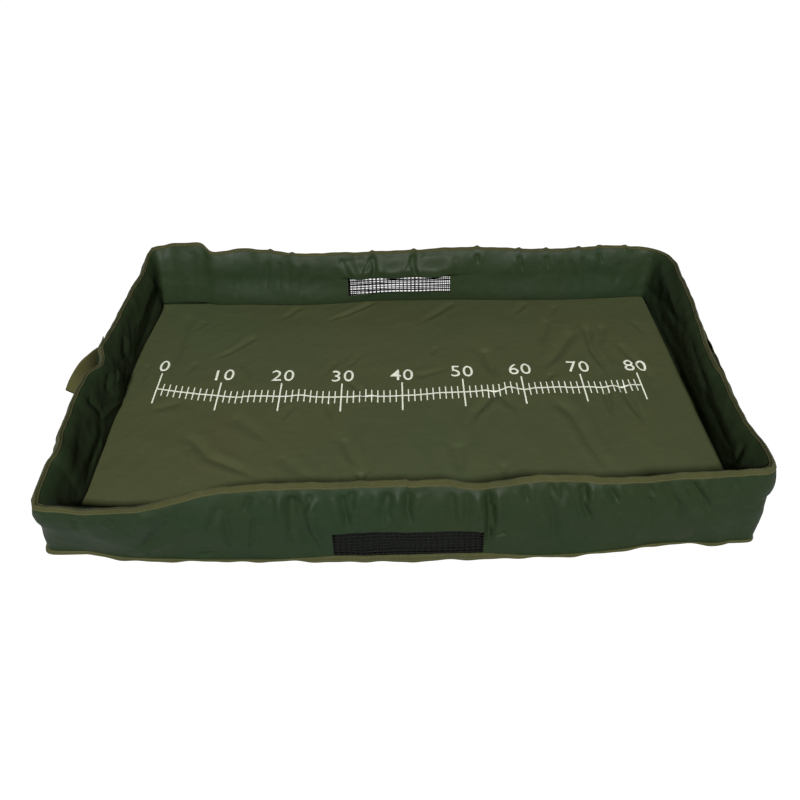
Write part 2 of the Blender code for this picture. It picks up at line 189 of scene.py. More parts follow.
def corner_run(wall, leaving, heights, columns=CORNER_COLUMNS):
    """Half of a corner, from the wall's leaning end to the middle of the arc. The cloth's follow weight
    dies away towards the arc."""
    heights = np.asarray(heights, float)[:, None]
    lean = corner_lean(heights)
    whole = lean + ARC / 2
    step = np.linspace(0, 1, columns + 1) * whole
    sign = 1 if leaving else -1
    along = sign * (wall.straight - lean + np.minimum(step, lean))
    turn = np.where(step < lean, 0, (step - lean) / CORNER_RADIUS)
    centre = sign * wall.straight * wall.along + (wall.distance - CORNER_RADIUS) * wall.outward
    way = np.cos(turn)[..., None] * wall.outward + sign * np.sin(turn)[..., None] * wall.along
    foot = np.where((step < lean)[..., None], wall.foot(along), centre + way * CORNER_RADIUS)
    distance_round = wall.round_at + sign * (wall.straight - lean + step)
    height = np.broadcast_to(heights, along.shape).copy()
    follow = hem_follow(height) * smooth(1 - step / whole)
    near = wall.round_at + sign * (wall.straight - np.maximum(lean - step, 0))
    far = np.full_like(near, wall.round_at + sign * (wall.straight + ARC))
    corner = next(n for n, pair in CORNERS.items() if pair[not leaving] == wall.name)
    parts = [foot, way, distance_round, height, follow, near, far, turn]
    if not leaving:
        parts = [part[:, ::-1] for part in parts]
    return Run(*parts[:5], bend=(*parts[5:], corner))


def corner_power(corner, height):
    """A parabola from half way up to the rim, and another down to the ground."""
    ground, middle, rim = CORNER_POWERS[corner]
    share = 2 * np.clip(height / RIM_TOP, 0, 1) - 1
    above, below = np.maximum(share, 0) ** 2, np.minimum(share, 0) ** 2
    return middle + (rim - middle) * above + (ground - middle) * below


def lap(distance_round):
    """Distance round the mat without a jump in the front wall: what is past the left wall is negative."""
    return np.where(distance_round > ROUND_LEFT + SHORT, distance_round - ROUND_WHOLE, distance_round)


def cut_size(run, out, keep=None):
    """The cut of a cloth, from its drawn section without folds: its greatest width and length, and area."""
    points = run.points(*shifted(run, out))
    across = np.linalg.norm(np.diff(points, axis=1), axis=-1).sum(axis=1).max()
    up = np.linalg.norm(np.diff(points, axis=0), axis=-1).sum(axis=0).max()
    first, second = points[1:, 1:] - points[:-1, :-1], points[1:, :-1] - points[:-1, 1:]
    area = np.linalg.norm(np.cross(first, second), axis=-1) / 2
    return (across, up), area[keep].sum() if keep is not None else area.sum()


def smooth_curve(points, at):
    """A cubic Hermite curve through (distance round the mat, value) points, which goes all round. The
    slope at each point comes from its neighbours."""
    xs, ys = np.array(sorted(points), float).T
    xs = np.concatenate([xs[-3:] - ROUND_WHOLE, xs, xs[:3] + ROUND_WHOLE])
    ys = np.concatenate([ys[-3:], ys, ys[:3]])
    slopes = np.gradient(ys, xs)
    at = np.mod(at - xs[3], ROUND_WHOLE) + xs[3]
    n = np.clip(np.searchsorted(xs, at) - 1, 0, len(xs) - 2)
    span = xs[n + 1] - xs[n]
    t = (at - xs[n]) / span
    start = (2 * t**3 - 3 * t**2 + 1) * ys[n] + (t**3 - 2 * t**2 + t) * span * slopes[n]
    return start + (3 * t**2 - 2 * t**3) * ys[n + 1] + (t**3 - t**2) * span * slopes[n + 1]


# Shapes as measured, in millimetres. The rim against its drawn line: along the wall, outwards, upwards
RIM_SHAPE = {
    "front": [
        (-437, 34, -18.5), (-425, 35.4, -19.6), (-393.4, 37.3, -20.7), (-362.1, 36.5, -20.2),
        (-331, 34.2, -18.9), (-300.6, 27, -16.2), (-270.3, 17.5, -13.1), (-239.1, 12.6, -11.7),
        (-207.4, 10.4, -10.4), (-175.6, 9, -9), (-111.9, 9.3, -9.3), (-48.1, 8.3, -8.3),
        (2.9, 8.5, -8.5), (28.5, 8.4, -8.4), (60.3, 9.5, -9.5), (82, 12.2, -12.2), (98.6, 12, -12),
        (124.2, 9.6, -9.6), (156.2, 7.1, -7.1), (188.2, 5.9, -5.9), (220.2, 6.6, -6.6),
        (252, 9.2, -9.2), (283.9, 9.6, -9.6), (316, 8, -8), (348.1, 6.6, -6.6), (380.2, 5.7, -5.7),
        (412.2, 5, -5.2), (437, 3.5, -4),
    ],
    "right": [
        (-237, -5, -5), (-206, -8, -10), (-154, -9, -11.5), (-92, -8.5, -9.5), (-26, -8.5, -10),
        (68, -0.5, -2), (175, 6, 0.5), (237, 9.5, -4),
    ],
    "back": [
        (-437, 1.5, -5), (-410, -1, -1.5), (-368, -1, -1), (-293, -4, -3.5), (-220, -3, -2.5),
        (-143, 0.5, 0.2), (2, -3, -2.4), (112, -5, -3.5), (204, -4.5, -3), (251, 1.2, 1), (296, 4.5, 3),
        (325, 0.8, 0.5), (352, 1, 1), (366, 12, 9), (400, 15, 10), (437, 15, 6),
    ],
    "left": [
        (-237, -16.5, -4), (-210, -15.5, -5), (-180, -13.5, -5.5), (-138, -9, -7), (-106, -8, -8),
        (-55, -7.5, -7.5), (-30, -5.5, -6), (-4, -5, -6), (10, -11, -12), (36, -12, -12),
        (56, -5, -5.5), (78, -3, -3), (106, -2.5, -2.5), (129, -3.5, -4.5), (175, -3.5, -7),
        (237, -4.5, -11),
    ],
}
# The ground seam against its drawn line: along the wall, outwards
SEAM_SHAPE = {
    "front": [
        (-437, 8.5), (-390, 20), (-310, 24), (-250, 26), (-170, 27.5), (-50, 30.8), (0, 31.4),
        (90, 29.4), (170, 29), (250, 25), (300, 19), (330, 13), (380, 10.5), (437, 10),
    ],
    "right": [(-237, -18), (-170, -6), (0, -3), (237, 0)],
    "back": [(-437, 0), (0, 4), (437, 0)],
    "left": [(-237, 0), (0, 3), (237, 3.6)],
}
# How much flatter than drawn the outer cloth is half way up: along the wall, inwards
FLAT_SHAPE = {
    "front": [(-437, 4), (-300, 0), (300, 1), (437, 4)],
    "right": [(-237, 6), (0, 5), (237, 3)],
    "back": [(-437, 0), (437, 0)],
    "left": [(-237, 2), (0, 5), (237, 4)],
}
# Where the foot of the inner cloth puffs over the floor: along the wall, inwards
FOOT_SHAPE = {
    "front": [(-437, 2), (437, 2)],
    "right": [(-237, -3), (-190, -3), (-10, -6), (120, -2), (237, 1)],
    "back": [(-437, 5), (-390, 9), (-195, 10), (-50, 2), (40, 2), (115, 11), (350, 10), (437, 3)],
    "left": [(-237, 7), (-180, 5), (-80, -1), (-14, 1), (83, 3), (237, 4)],
}


def by_round(shape, column=1):
    """The points of a wall-by-wall table as (distance round the mat, value), in metres."""
    rows = [(WALLS[name].round_at, row) for name, wall_rows in shape.items() for row in wall_rows]
    return [((at + row[0] / 1000) % ROUND_WHOLE, row[column] / 1000) for at, row in rows]


RIM_OUTWARDS, RIM_UPWARDS = by_round(RIM_SHAPE), by_round(RIM_SHAPE, 2)
SEAM_OUTWARDS, FLAT_INWARDS, FOOT_INWARDS = map(by_round, (SEAM_SHAPE, FLAT_SHAPE, FOOT_SHAPE))
# The rim's small sideways waves, as sines: radians per metre, start, share of the height
RIM_WAVES = ((61, 1.3, 1.0), (103, 0.4, 1.0), (211, 0.0, 0.7))
RIM_WAVE_HEIGHT = 0.0006
RIM_SHIFT_POWER = 1.2
RIM_WAVE_POWER = 6


def shifted(run, out):
    """The drawn section moved with the rim and the ground seam: the rim's shift grows with a power of
    the height, and the seam's fades to nothing at the rim. A corner is a superellipse round the floor's
    arc centre, through where its two walls stand at its ends."""
    share = np.clip(run.height / RIM_TOP, 0, 1.1)
    rim = share**RIM_SHIFT_POWER
    outer = smooth(out / SEAM_OUT)
    seam = (1 - np.minimum(share, 1)) ** 2 * outer
    half_way = np.sin(math.pi * np.minimum(share, 1)) * outer

    def at(distance_round):
        stand = out + rim * smooth_curve(RIM_OUTWARDS, distance_round)
        stand = stand + seam * smooth_curve(SEAM_OUTWARDS, distance_round)
        stand = stand - half_way * smooth_curve(FLAT_INWARDS, distance_round)
        wave = sum(size * np.sin(distance_round * often + start) for often, start, size in RIM_WAVES)
        return stand + rim**RIM_WAVE_POWER * (RIM_WAVE_HEIGHT * wave)

    if run.bend is None:
        moved = at(run.round)
    else:
        near, far, turn, corner = run.bend
        power = corner_power(corner, run.height)
        near_side = (np.cos(turn) / (CORNER_RADIUS + at(near))) ** power
        far_side = (np.sin(turn) / (CORNER_RADIUS + at(far))) ** power
        moved = (near_side + far_side) ** (-1 / power) - CORNER_RADIUS
    return moved, run.height + rim * smooth_curve(RIM_UPWARDS, run.round)


def outer_out(height):
    """A straight line from seam to rim, bowed out by a half sine and drawn in at the shoulder."""
    share = share_between(height, SEAM_Z, RIM_TOP)
    line = SEAM_OUT + (RIM_MIDDLE + RIM_HALF + OUTER_SHOULDER - SEAM_OUT) * share
    return line + OUTER_BULGE * np.sin(math.pi * share) - OUTER_SHOULDER * share**SHOULDER_POWER


def inner_out(height):
    """The same on the inner side: bowed over the floor, and drawn out at the shoulder."""
    share = share_between(height, FLOOR_TOP, RIM_TOP)
    line = CLOTH / 2 + INNER_LINE * share
    shoulder = RIM_MIDDLE - RIM_HALF - INNER_LINE - CLOTH / 2
    return line - INNER_BULGE * np.sin(math.pi * share) + shoulder * share**SHOULDER_POWER


def grooves(lines, x, y):
    """The height of creases: each is a groove, exp(-distance / width) deep, between two low ridges. It
    narrows along its length and fades out towards both of its ends."""
    total = np.zeros_like(x)
    for depth, width, points in lines:
        steps = np.diff(points, axis=0)
        lengths = np.hypot(steps[:, 0], steps[:, 1])
        nearest = np.full_like(x, 9.0)
        share = np.zeros_like(x)
        for start, step, length, before in zip(points, steps, lengths, np.cumsum(lengths) - lengths):
            t = ((x - start[0]) * step[0] + (y - start[1]) * step[1]) / length**2
            t = np.clip(t, 0, 1)
            far = np.hypot(x - start[0] - t * step[0], y - start[1] - t * step[1])
            share = np.where(far < nearest, (before + t * length) / lengths.sum(), share)
            nearest = np.minimum(far, nearest)
        wide = width * (1.2 - 0.6 * share)
        soft = np.sqrt(nearest**2 + (wide / 4) ** 2)
        shape = 0.3 * bell(nearest / wide - 2.1, 1.2) - np.exp(-soft / wide)
        total += depth * shape * smooth(share / 0.15 + 0.25) * smooth((1 - share) / 0.45)
    return total


def crumple(x, y, size, seed):
    """Loose cloth: waves with sharp crests in seven directions, each bent by a slower wave and shown
    in patches. The result is about -1 to 1."""
    rng = np.random.default_rng(seed)
    total = np.zeros_like(x)
    for turn in np.arange(7) * math.pi / 7 + rng.uniform(-0.2, 0.2, 7):
        wave = size * rng.uniform(0.7, 1.7)
        first, second, third, fourth = rng.uniform(0, 2 * math.pi, 4)
        across = x * math.cos(turn) + y * math.sin(turn)
        beside = y * math.cos(turn) - x * math.sin(turn)
        across = across + 0.4 * wave * np.sin(beside / (1.3 * wave) + first)
        crest = 1 - np.abs(np.sin(math.pi * across / wave + second))
        patch = 0.5 + 0.5 * np.sin(across / (1.9 * wave) + third) * np.sin(beside / (2.3 * wave) + fourth)
        total += (crest - 0.36) * patch
    return total / 2


def random_folds(seed, half_length, count, top, longest):
    """Folds that hang from the rim at random places, of random length, slant, depth and width."""
    rng = np.random.default_rng(seed)
    found = []
    for at in np.linspace(-half_length, half_length, count) + rng.uniform(-0.012, 0.012, count):
        drop = longest * rng.uniform(0.25, 1) ** 1.6
        slant = drop * rng.uniform(-0.5, 0.5)
        depth, width = rng.uniform(0.0008, 0.0026), rng.uniform(0.004, 0.007)
        middle = (at + slant * rng.uniform(0.2, 0.8), top - drop * 0.5)
        found.append((depth, width, np.array(((at, top), middle, (at + slant, top - drop)))))
    return found


def creases(*rows):
    """Creases in metres from rows in millimetres: depth, width, and each place along it."""
    return [(depth / 1000, width / 1000, np.array(places) / 1000) for depth, width, *places in rows]


# Creases as seen. On a wall a place is (along it, height), and on the floor (x, y).
FRONT_FOLDS = creases(
    (2.6, 12, (-302, 100), (-374, 18)), (1.8, 6, (-322, 65), (-359, 24)),
    (1.4, 5, (-242, 105), (-265, 59)), (1.8, 5, (-236, 105), (-235, 31), (-236, 10)),
    (1.5, 3, (-199, 86), (-212, 10)), (1.5, 4, (-202, 115), (-213, 92)),
    (1.4, 4, (-175, 116), (-172, 85)), (2.2, 6, (-150, 115), (-155, 40), (-148, 13)),
    (3.6, 8, (-150, 116), (-141, 60), (-124, 20), (-108, 12)),
    (2.4, 5, (-140, 112), (-131, 56), (-114, 15)), (2, 4, (-124, 115), (-137, 90)),
    (3, 5, (-84, 114), (-77, 54)), (2.2, 4, (-71, 118), (-73, 84)),
    (2.6, 5, (-27, 116), (-34, 87), (-28, 61)), (1.8, 4, (-22, 114), (-26, 85), (-14, 60)),
    (3, 5, (1, 116), (-1, 90), (6, 64)), (1.8, 6, (56, 115), (60, 62)), (2, 5, (75, 117), (76, 62)),
    (4.4, 5, (103, 120), (106, 50), (106, 12)), (2.6, 4, (109, 100), (113, 50)),
    (1.8, 3, (128, 52), (110, 44)), (1.6, 4, (148, 119), (155, 96)),
    (2.2, 6, (175, 115), (189, 77), (192, 40), (208, 10)), (1.8, 4, (182, 120), (198, 94)),
    (1.8, 4, (197, 120), (199, 91)), (1.8, 5, (203, 117), (224, 64)),
    (3, 5, (220, 120), (226, 90), (243, 59)), (2.8, 4, (227, 120), (231, 92)),
    (2.8, 5, (258, 116), (273, 94)), (2, 5, (297, 120), (316, 89)), (2, 4, (308, 120), (321, 97)),
    (2.2, 7, (326, 120), (350, 86), (357, 42)), (2.6, 6, (351, 120), (374, 90), (396, 57)),
    (3.2, 5, (364, 120), (385, 92), (398, 67)), (1.6, 4, (387, 120), (394, 100)),
    (1.6, 4, (416, 120), (426, 104)), (2.2, 6, (454, 84), (462, 39)), (1.4, 8, (293, 102), (317, 20)),
    (1.4, 8, (311, 101), (323, 37)), (1.8, 5, (-420, 110), (-429, 80)),
    (1.6, 5, (-380, 112), (-373, 92)), (1.4, 4, (-450, 112), (-453, 88)),
    (2, 5, (-283, 10), (-258, 16)), (1.6, 4, (-343, 24), (-356, 6)),
)
BACK_FOLDS = creases(
    (3, 8, (-455, 122), (-450, 75), (-444, 34)), (1.6, 8, (384, 118), (396, 60)),
    (1.4, 6, (358, 118), (376, 95)), (1.6, 5, (247, 113), (255, 53)), (1.4, 5, (225, 113), (230, 57)),
    (1.6, 5, (208, 118), (215, 52)), (1.6, 6, (303, 80), (316, 40)), (1.8, 6, (176, 112), (195, 34)),
    (2.4, 5, (112, 118), (92, 85)), (2, 5, (99, 118), (77, 90)),
    (4.4, 4, (53, 126), (49, 100), (58, 76)), (2.6, 3, (56, 118), (72, 92)),
    (4, 4, (-24, 126), (-22, 104), (-32, 80)), (2.2, 3, (-22, 118), (-8, 96)),
    (2, 4, (56, 39), (72, 33)), (1.8, 6, (-98, 115), (-114, 76)), (2.8, 4, (-141, 118), (-143, 100)),
    (2.4, 4, (-218, 118), (-228, 88)), (2, 4, (-268, 118), (-276, 92)),
    (1.4, 6, (-298, 111), (-304, 41)), (1.6, 5, (-315, 111), (-335, 50)),
    (1.6, 5, (-336, 115), (-353, 45)), (2.4, 4, (-366, 118), (-376, 96)),
    (1.6, 6, (-408, 101), (-402, 51)),
)
LEFT_FOLDS = creases(
    (3.4, 14, (-262, 98), (-247, 71), (-151, 49), (-60, 52)),
    (-2, 10, (-240, 100), (-150, 85), (-70, 92)), (-2.6, 5, (101, 67), (54, 50), (5, 28)),
    (3, 6, (104, 110), (98, 85), (98, 60)), (2, 7, (101, 64), (135, 54), (200, 50)),
    (-2.6, 4, (2, 86), (30, 79)), (-2.6, 3, (-34, 47), (0, 49)), (-3, 3, (-49, 24), (-11, 25)),
    (3.2, 7, (-67, 103), (-40, 84), (-65, 44)), (2.6, 6, (30, 108), (50, 90), (46, 70)),
    (1.6, 10, (140, 104), (200, 92), (241, 82)), (2.2, 9, (130, 46), (180, 50), (240, 40)),
)
RIGHT_FOLDS = creases(
    (3.6, 13, (258, 50), (172, 76), (87, 93), (40, 100)),
    (-2.4, 8, (240, 108), (182, 104), (118, 97), (68, 92)),
    (2.6, 10, (190, 45), (67, 68), (-28, 81), (-81, 64)), (2.6, 9, (30, 106), (-40, 101), (-113, 94)),
    (2.6, 8, (-70, 78), (-140, 84), (-215, 78)), (2.4, 9, (-23, 26), (-120, 38), (-190, 50)),
    (-2, 5, (10, 52), (-50, 58), (-90, 52)), (2.2, 5, (-215, 112), (-222, 80), (-214, 60)),
)
FLOOR_CREASES = creases(
    (1.6, 9, (-399, 226), (-395, 78), (-394, 29)), (1, 5, (-363, 196), (-377, 162)),
    (1.6, 5, (-262, 144), (-302, 99), (-336, 76)), (1, 5, (-357, 71), (-369, 34)),
    (1.2, 8, (-362, -30), (-409, -48)), (1.2, 4, (-440, 74), (-436, 20)),
    (1.6, 5, (-192, 240), (-229, 186)), (2.2, 5, (-52, 256), (-100, 214), (-147, 183)),
    (1, 4, (-75, 83), (-97, 45)), (1.1, 5, (-115, 67), (-138, 22)),
    (1.6, 5, (-88, 11), (-67, -20), (-39, -50)), (1.2, 5, (-123, -38), (-112, -86)),
    (1.1, 5, (-181, -47), (-195, -84)), (1.1, 9, (-271, -68), (-240, -94), (-201, -136)),
    (1.9, 7, (-334, -107), (-294, -155), (-262, -172), (-199, -207)),
    (1.2, 8, (-188, -154), (-154, -191), (-124, -209)), (1.8, 7, (-95, -122), (-70, -189)),
    (2.4, 5, (-66, -193), (-65, -214)), (1, 4, (-330, -133), (-322, -159)),
    (-1.2, 5, (-275, 58), (-259, 15), (-257, -64)), (1.6, 6, (100, 248), (25, 169)),
    (2.6, 10, (141, 97), (147, 55), (156, 14)), (2.4, 6, (154, -11), (112, -69), (96, -109)),
    (1.6, 8, (156, -21), (178, -70)), (1, 5, (58, 102), (46, 77)), (1, 5, (21, 23), (79, 43)),
    (1.6, 7, (264, 184), (236, 88)), (2.4, 8, (304, 145), (264, 76), (228, 28)),
    (1.5, 4, (246, 25), (234, 2)), (3, 6, (333, 163), (329, 91), (339, 41), (347, 4)),
    (1.6, 6, (362, 162), (340, 85)), (2.6, 4, (328, -21), (324, -88)),
    (3, 6, (356, -1), (363, -51), (372, -103)), (1.6, 6, (379, 110), (389, 78), (408, 34), (406, -3)),
    (1.2, 5, (426, 173), (431, 135)),
    (2.4, 8, (243, -43), (263, -72), (276, -131), (287, -178), (304, -206)),
    (1.8, 9, (79, -135), (77, -208)), (1.4, 5, (143, -182), (140, -202)),
    (1.4, 5, (232, 240), (207, 198)), (1.2, 4, (286, 229), (276, 190)), (1, 6, (413, 28), (405, -43)),
)


def round_folds(wall, folds):
    """A wall's folds with their places measured round the mat."""
    return [(depth, width, points + (WALLS[wall].round_at, 0)) for depth, width, points in folds]


OUTER_FOLDS = [
    *round_folds("front", FRONT_FOLDS),
    *round_folds("right", random_folds(seed=3, half_length=0.25, count=18, top=0.118, longest=0.085)),
    *round_folds("back", random_folds(seed=5, half_length=0.45, count=34, top=0.118, longest=0.085)),
    *round_folds("left", random_folds(seed=7, half_length=0.25, count=18, top=0.118, longest=0.085)),
]
INNER_FOLDS = [
    *round_folds("front", random_folds(seed=11, half_length=0.43, count=24, top=0.116, longest=0.08)),
    *round_folds("right", RIGHT_FOLDS),
    *round_folds("back", BACK_FOLDS),
    *round_folds("left", LEFT_FOLDS),
]
OUTER_FOLD_DEPTH, INNER_FOLD_DEPTH, FLOOR_FOLD_DEPTH = 2.5, 1.3, 2.1
# How high the cloths crumple, in slow waves and in quick ones
OUTER_SLOW, OUTER_QUICK = 0.0034, 0.0009
INNER_LOOSE, INNER_LOOSER, INNER_QUICK_SHARE = 0.0016, 0.0010, 0.35
FLOOR_SLOW, FLOOR_QUICK = 0.0013, 0.0006
# How far from its foot, its rim and the floor's edge the cloth is held
FOOT_HOLD, RIM_HOLD, EDGE_HOLD = 0.02, 0.016, 0.02
# Where the inner cloth puffs out above the back wall's window: along the wall, half width, size
BACK_PUFFS = ((0.078, 0.022, 1.0), (0.015, 0.032, 1.0), (-0.060, 0.036, 1.1))
PUFF_DEPTH = 0.0115
# Where a strap lies on its wall: the wall, from and to along it, and how deep it presses the padding in
STRAP_PRESSES = [("right", -0.150, 0.140, 0.0065), ("left", -0.056, -0.012, 0.0030)]
PRESS_EDGE = 0.014
PRESS_FLATTENS = 0.92


def fold_hold(height, above_foot):
    """How free the cloth is to fold: not at its foot, and little where the rim is sewn."""
    return smooth(above_foot / FOOT_HOLD) * smooth((RIM_TOP + 0.001 - height) / RIM_HOLD)


def soft_band(value, low, high, edge):
    """1 between low and high, which fades to 0 over the edge outside them."""
    return smooth((value - low + edge) / edge) * smooth((high + edge - value) / edge)


def strap_cover(run):
    """How much of a strap lies over each place, and how deep it presses."""
    cover, press = np.zeros_like(run.height), np.zeros_like(run.height)
    level = soft_band(run.height, STRAP_SEAT_LOW, STRAP_SEAT_LOW + WEBBING_WIDTH, PRESS_EDGE)
    for name, low, high, depth in STRAP_PRESSES:
        here = soft_band(lap(run.round) - WALLS[name].round_at, low, high, PRESS_EDGE) * level
        cover = np.maximum(cover, here)
        press = press + depth * here
    return cover, press


def outer_folds(run):
    """How far the outer cloth's folds and crumples stand out. A strap holds them flat."""
    cover, press = strap_cover(run)
    angle = 2 * math.pi * run.round / ROUND_WHOLE
    radius = ROUND_WHOLE / (2 * math.pi)
    slow = crumple(radius * np.cos(angle), radius * np.sin(angle) + run.height, size=0.100, seed=23)
    quick = crumple(lap(run.round), run.height * 0.6, size=0.034, seed=24)
    total = OUTER_FOLD_DEPTH * grooves(OUTER_FOLDS, lap(run.round), run.height)
    total = (total + OUTER_SLOW * slow + OUTER_QUICK * quick) * (1 - PRESS_FLATTENS * cover)
    return fold_hold(run.height, run.height) * (total - press)


def inner_folds(run):
    """How far the inner cloth's stand in over the floor. It is looser on the short walls, and it puffs
    out above the back wall's window."""
    quarter = np.abs(np.sin(math.pi * run.round / ROUND_BACK))
    loose = INNER_LOOSE + INNER_LOOSER * smooth((quarter - 0.75) / 0.2)
    at = lap(run.round)
    slow = crumple(at, run.height * 1.6, size=0.085, seed=31)
    quick = crumple(at, run.height, size=0.03, seed=33)
    total = INNER_FOLD_DEPTH * grooves(INNER_FOLDS, at, run.height)
    total = total + loose * slow + INNER_QUICK_SHARE * loose * quick
    over = smooth((run.height - INNER_WINDOW[1]) / 0.004) * smooth((0.118 - run.height) / 0.022)
    puff = sum(size * bell(at - ROUND_BACK - along, wide) for along, wide, size in BACK_PUFFS)
    return fold_hold(run.height, run.height - FLOOR_TOP) * total + PUFF_DEPTH * over * puff


def outer_skin(run):
    out, up = shifted(run, outer_out(run.height))
    return out + outer_folds(run), up


def inner_skin(run):
    out, up = shifted(run, inner_out(run.height))
    foot = smooth((run.height - INNER_LOW) / 0.006) * smooth((0.085 - run.height) / 0.05)
    return out - inner_folds(run) - foot * smooth_curve(FOOT_INWARDS, run.round), up


def crown_at(x, y):
    across = 1 - np.minimum(np.abs(x) / LONG, 1) ** CROWN_POWER
    along = 1 - np.minimum(np.abs(y) / SHORT, 1) ** CROWN_POWER
    return FLOOR_CROWN * across * along


def floor_edge(x, y):
    """How far a place is from the edge of the floor."""
    return np.minimum(LONG - np.abs(x), SHORT - np.abs(y))


def floor_height(x, y):
    """The top of the floor cloth: the foam's crown, the creases, and a faint crumple."""
    rise = FLOOR_FOLD_DEPTH * grooves(FLOOR_CREASES, x, y)
    rise = rise + FLOOR_SLOW * crumple(x, y, size=0.11, seed=41)
    rise = rise + FLOOR_QUICK * crumple(x, y, size=0.045, seed=43)
    return FLOOR_TOP + crown_at(x, y) + smooth(floor_edge(x, y) / EDGE_HOLD) * rise


# Meshes


def lattice_faces(rows, columns, keep=None, flip=False, close=False):
    """Four-sided faces between the points of a lattice. Close joins its last column to its first."""
    number = np.arange(rows * columns).reshape(rows, columns)
    if close:
        number = np.concatenate([number, number[:, :1]], axis=1)
    a, b, c, d = number[:-1, :-1], number[:-1, 1:], number[1:, 1:], number[1:, :-1]
    faces = np.stack([a, b, c, d], axis=-1)
    faces = faces[keep] if keep is not None else faces.reshape(-1, 4)
    return faces[:, ::-1] if flip else faces


def linked(name, data):
    made = bpy.data.objects.new(name, data)
    bpy.context.scene.collection.objects.link(made)
    return made


def make_piece(name, points, faces, material, uv=None, caps=()):
    """A mesh object from arrays. Caps are rows of point numbers that close a tube's ends."""
    points = np.asarray(points, float).reshape(-1, 3)
    used, again = np.unique(faces, return_inverse=True)
    if len(used) < len(points) and not caps:
        points = points[used]
        faces = again.reshape(-1, 4)
        uv = None if uv is None else uv.reshape(-1, 2)[used]
    mesh = bpy.data.meshes.new(name)
    mesh.from_pydata(points.tolist(), [], faces.tolist() + [list(map(int, cap)) for cap in caps])
    if uv is not None:
        layer = mesh.uv_layers.new(name="cloth")
        corner = np.empty(len(mesh.loops), np.int32)
        mesh.loops.foreach_get("vertex_index", corner)
        layer.data.foreach_set("uv", np.asarray(uv, np.float32).reshape(-1, 2)[corner].ravel())
    mesh.polygons.foreach_set("use_smooth", np.full(len(mesh.polygons), True))
    beside = np.empty(len(mesh.loops), np.int32)
    mesh.loops.foreach_get("edge_index", beside)
    mesh.edges.foreach_set("use_edge_sharp", np.bincount(beside, minlength=len(mesh.edges)) == 1)
    mesh.materials.append(material)
    mesh.update()
    return linked(name, mesh)


def thicken(piece, thickness):
    solid = piece.modifiers.new("Thickness", "SOLIDIFY")
    solid.thickness = thickness
    solid.offset = -1.0
    return piece


def follow_wall(piece):
    """Bakes the piece's placing into its mesh."""
    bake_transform(piece)


def patch_piece(name, run, surface, material, thickness, flip=False, keep=None, rise=None):
    """A sheet over a run of places. Its UV map is the distance round the mat and the rise up the sheet,
    which is the height unless it is given."""
    rise = run.height if rise is None else np.broadcast_to(rise, run.height.shape)
    faces = lattice_faces(*run.height.shape, keep=keep, flip=flip)
    uv = np.stack([run.round, rise], axis=-1)
    piece = make_piece(name, run.points(*surface), faces, material, uv)
    return thicken(piece, thickness), run.follow.ravel()[np.unique(faces)]


def tubes(lines, radius, sides, normals):
    """Round strands along lines of points, as one lattice each: the ring round a point is spanned by
    the strand's normal and the cross product of that with the strand's direction."""
    way = np.gradient(lines, axis=1)
    way /= np.linalg.norm(way, axis=-1, keepdims=True)
    side = np.cross(way, normals)
    side /= np.linalg.norm(side, axis=-1, keepdims=True)
    turn = np.arange(sides) * 2 * math.pi / sides
    ring = np.cos(turn)[:, None] * normals[..., None, :] + np.sin(turn)[:, None] * side[..., None, :]
    points = lines[..., None, :] + radius * ring
    count, length = lines.shape[:2]
    one = lattice_faces(length, sides, close=True, flip=True)
    starts = np.arange(count)[:, None] * length * sides
    faces = (one[None] + starts[:, None]).reshape(-1, 4)
    first = starts + np.arange(sides)
    last = first + (length - 1) * sides
    return points.reshape(-1, 3), faces, [*first, *last[:, ::-1]]


# Materials


def node_group(name, inputs, output):
    """A node group with (name, kind, value) inputs and one output."""
    group = bpy.data.node_groups.new(name, "ShaderNodeTree")
    for label, kind, value in inputs:
        socket = group.interface.new_socket(label, in_out="INPUT", socket_type=f"NodeSocket{kind}")
        if value is not None:
            socket.default_value = value
    label, kind = output
    group.interface.new_socket(label, in_out="OUTPUT", socket_type=f"NodeSocket{kind}")
    start = group.nodes.new("NodeGroupInput")
    end = group.nodes.new("NodeGroupOutput")
    return group, start.outputs, end.inputs[label]


def add(tree, kind, links=(), **settings):
    """A node with its settings. Links are (input, what feeds it), a socket or a plain value."""
    node = tree.nodes.new(kind)
    for key, value in settings.items():
        setattr(node, key, value)
    for key, source in links:
        if isinstance(source, bpy.types.NodeSocket):
            tree.links.new(source, node.inputs[key])
        else:
            node.inputs[key].default_value = source
    return node


def maths(tree, operation, *values):
    return add(tree, "ShaderNodeMath", enumerate(values), operation=operation).outputs[0]


def mixed(tree, share, first, second):
    links = [("Factor", share), (6, first), (7, second)]
    return add(tree, "ShaderNodeMix", links, data_type="RGBA").outputs[2]


def noise(tree, spot, scale, detail, kind="FBM", **inputs):
    links = [("Vector", spot), ("Scale", scale), ("Detail", detail), *inputs.items()]
    return add(tree, "ShaderNodeTexNoise", links, noise_type=kind).outputs[0]


def mapped(tree, value, low=0.0, high=1.0, to_low=0.0, to_high=1.0):
    """The value's place between low and high, moved to the same place between to_low and to_high."""
    return add(tree, "ShaderNodeMapRange", enumerate((value, low, high, to_low, to_high))).outputs[0]


def bumped(tree, height, strength, distance, **inputs):
    links = [("Height", height), ("Strength", strength), ("Distance", distance), *inputs.items()]
    return add(tree, "ShaderNodeBump", links).outputs[0]


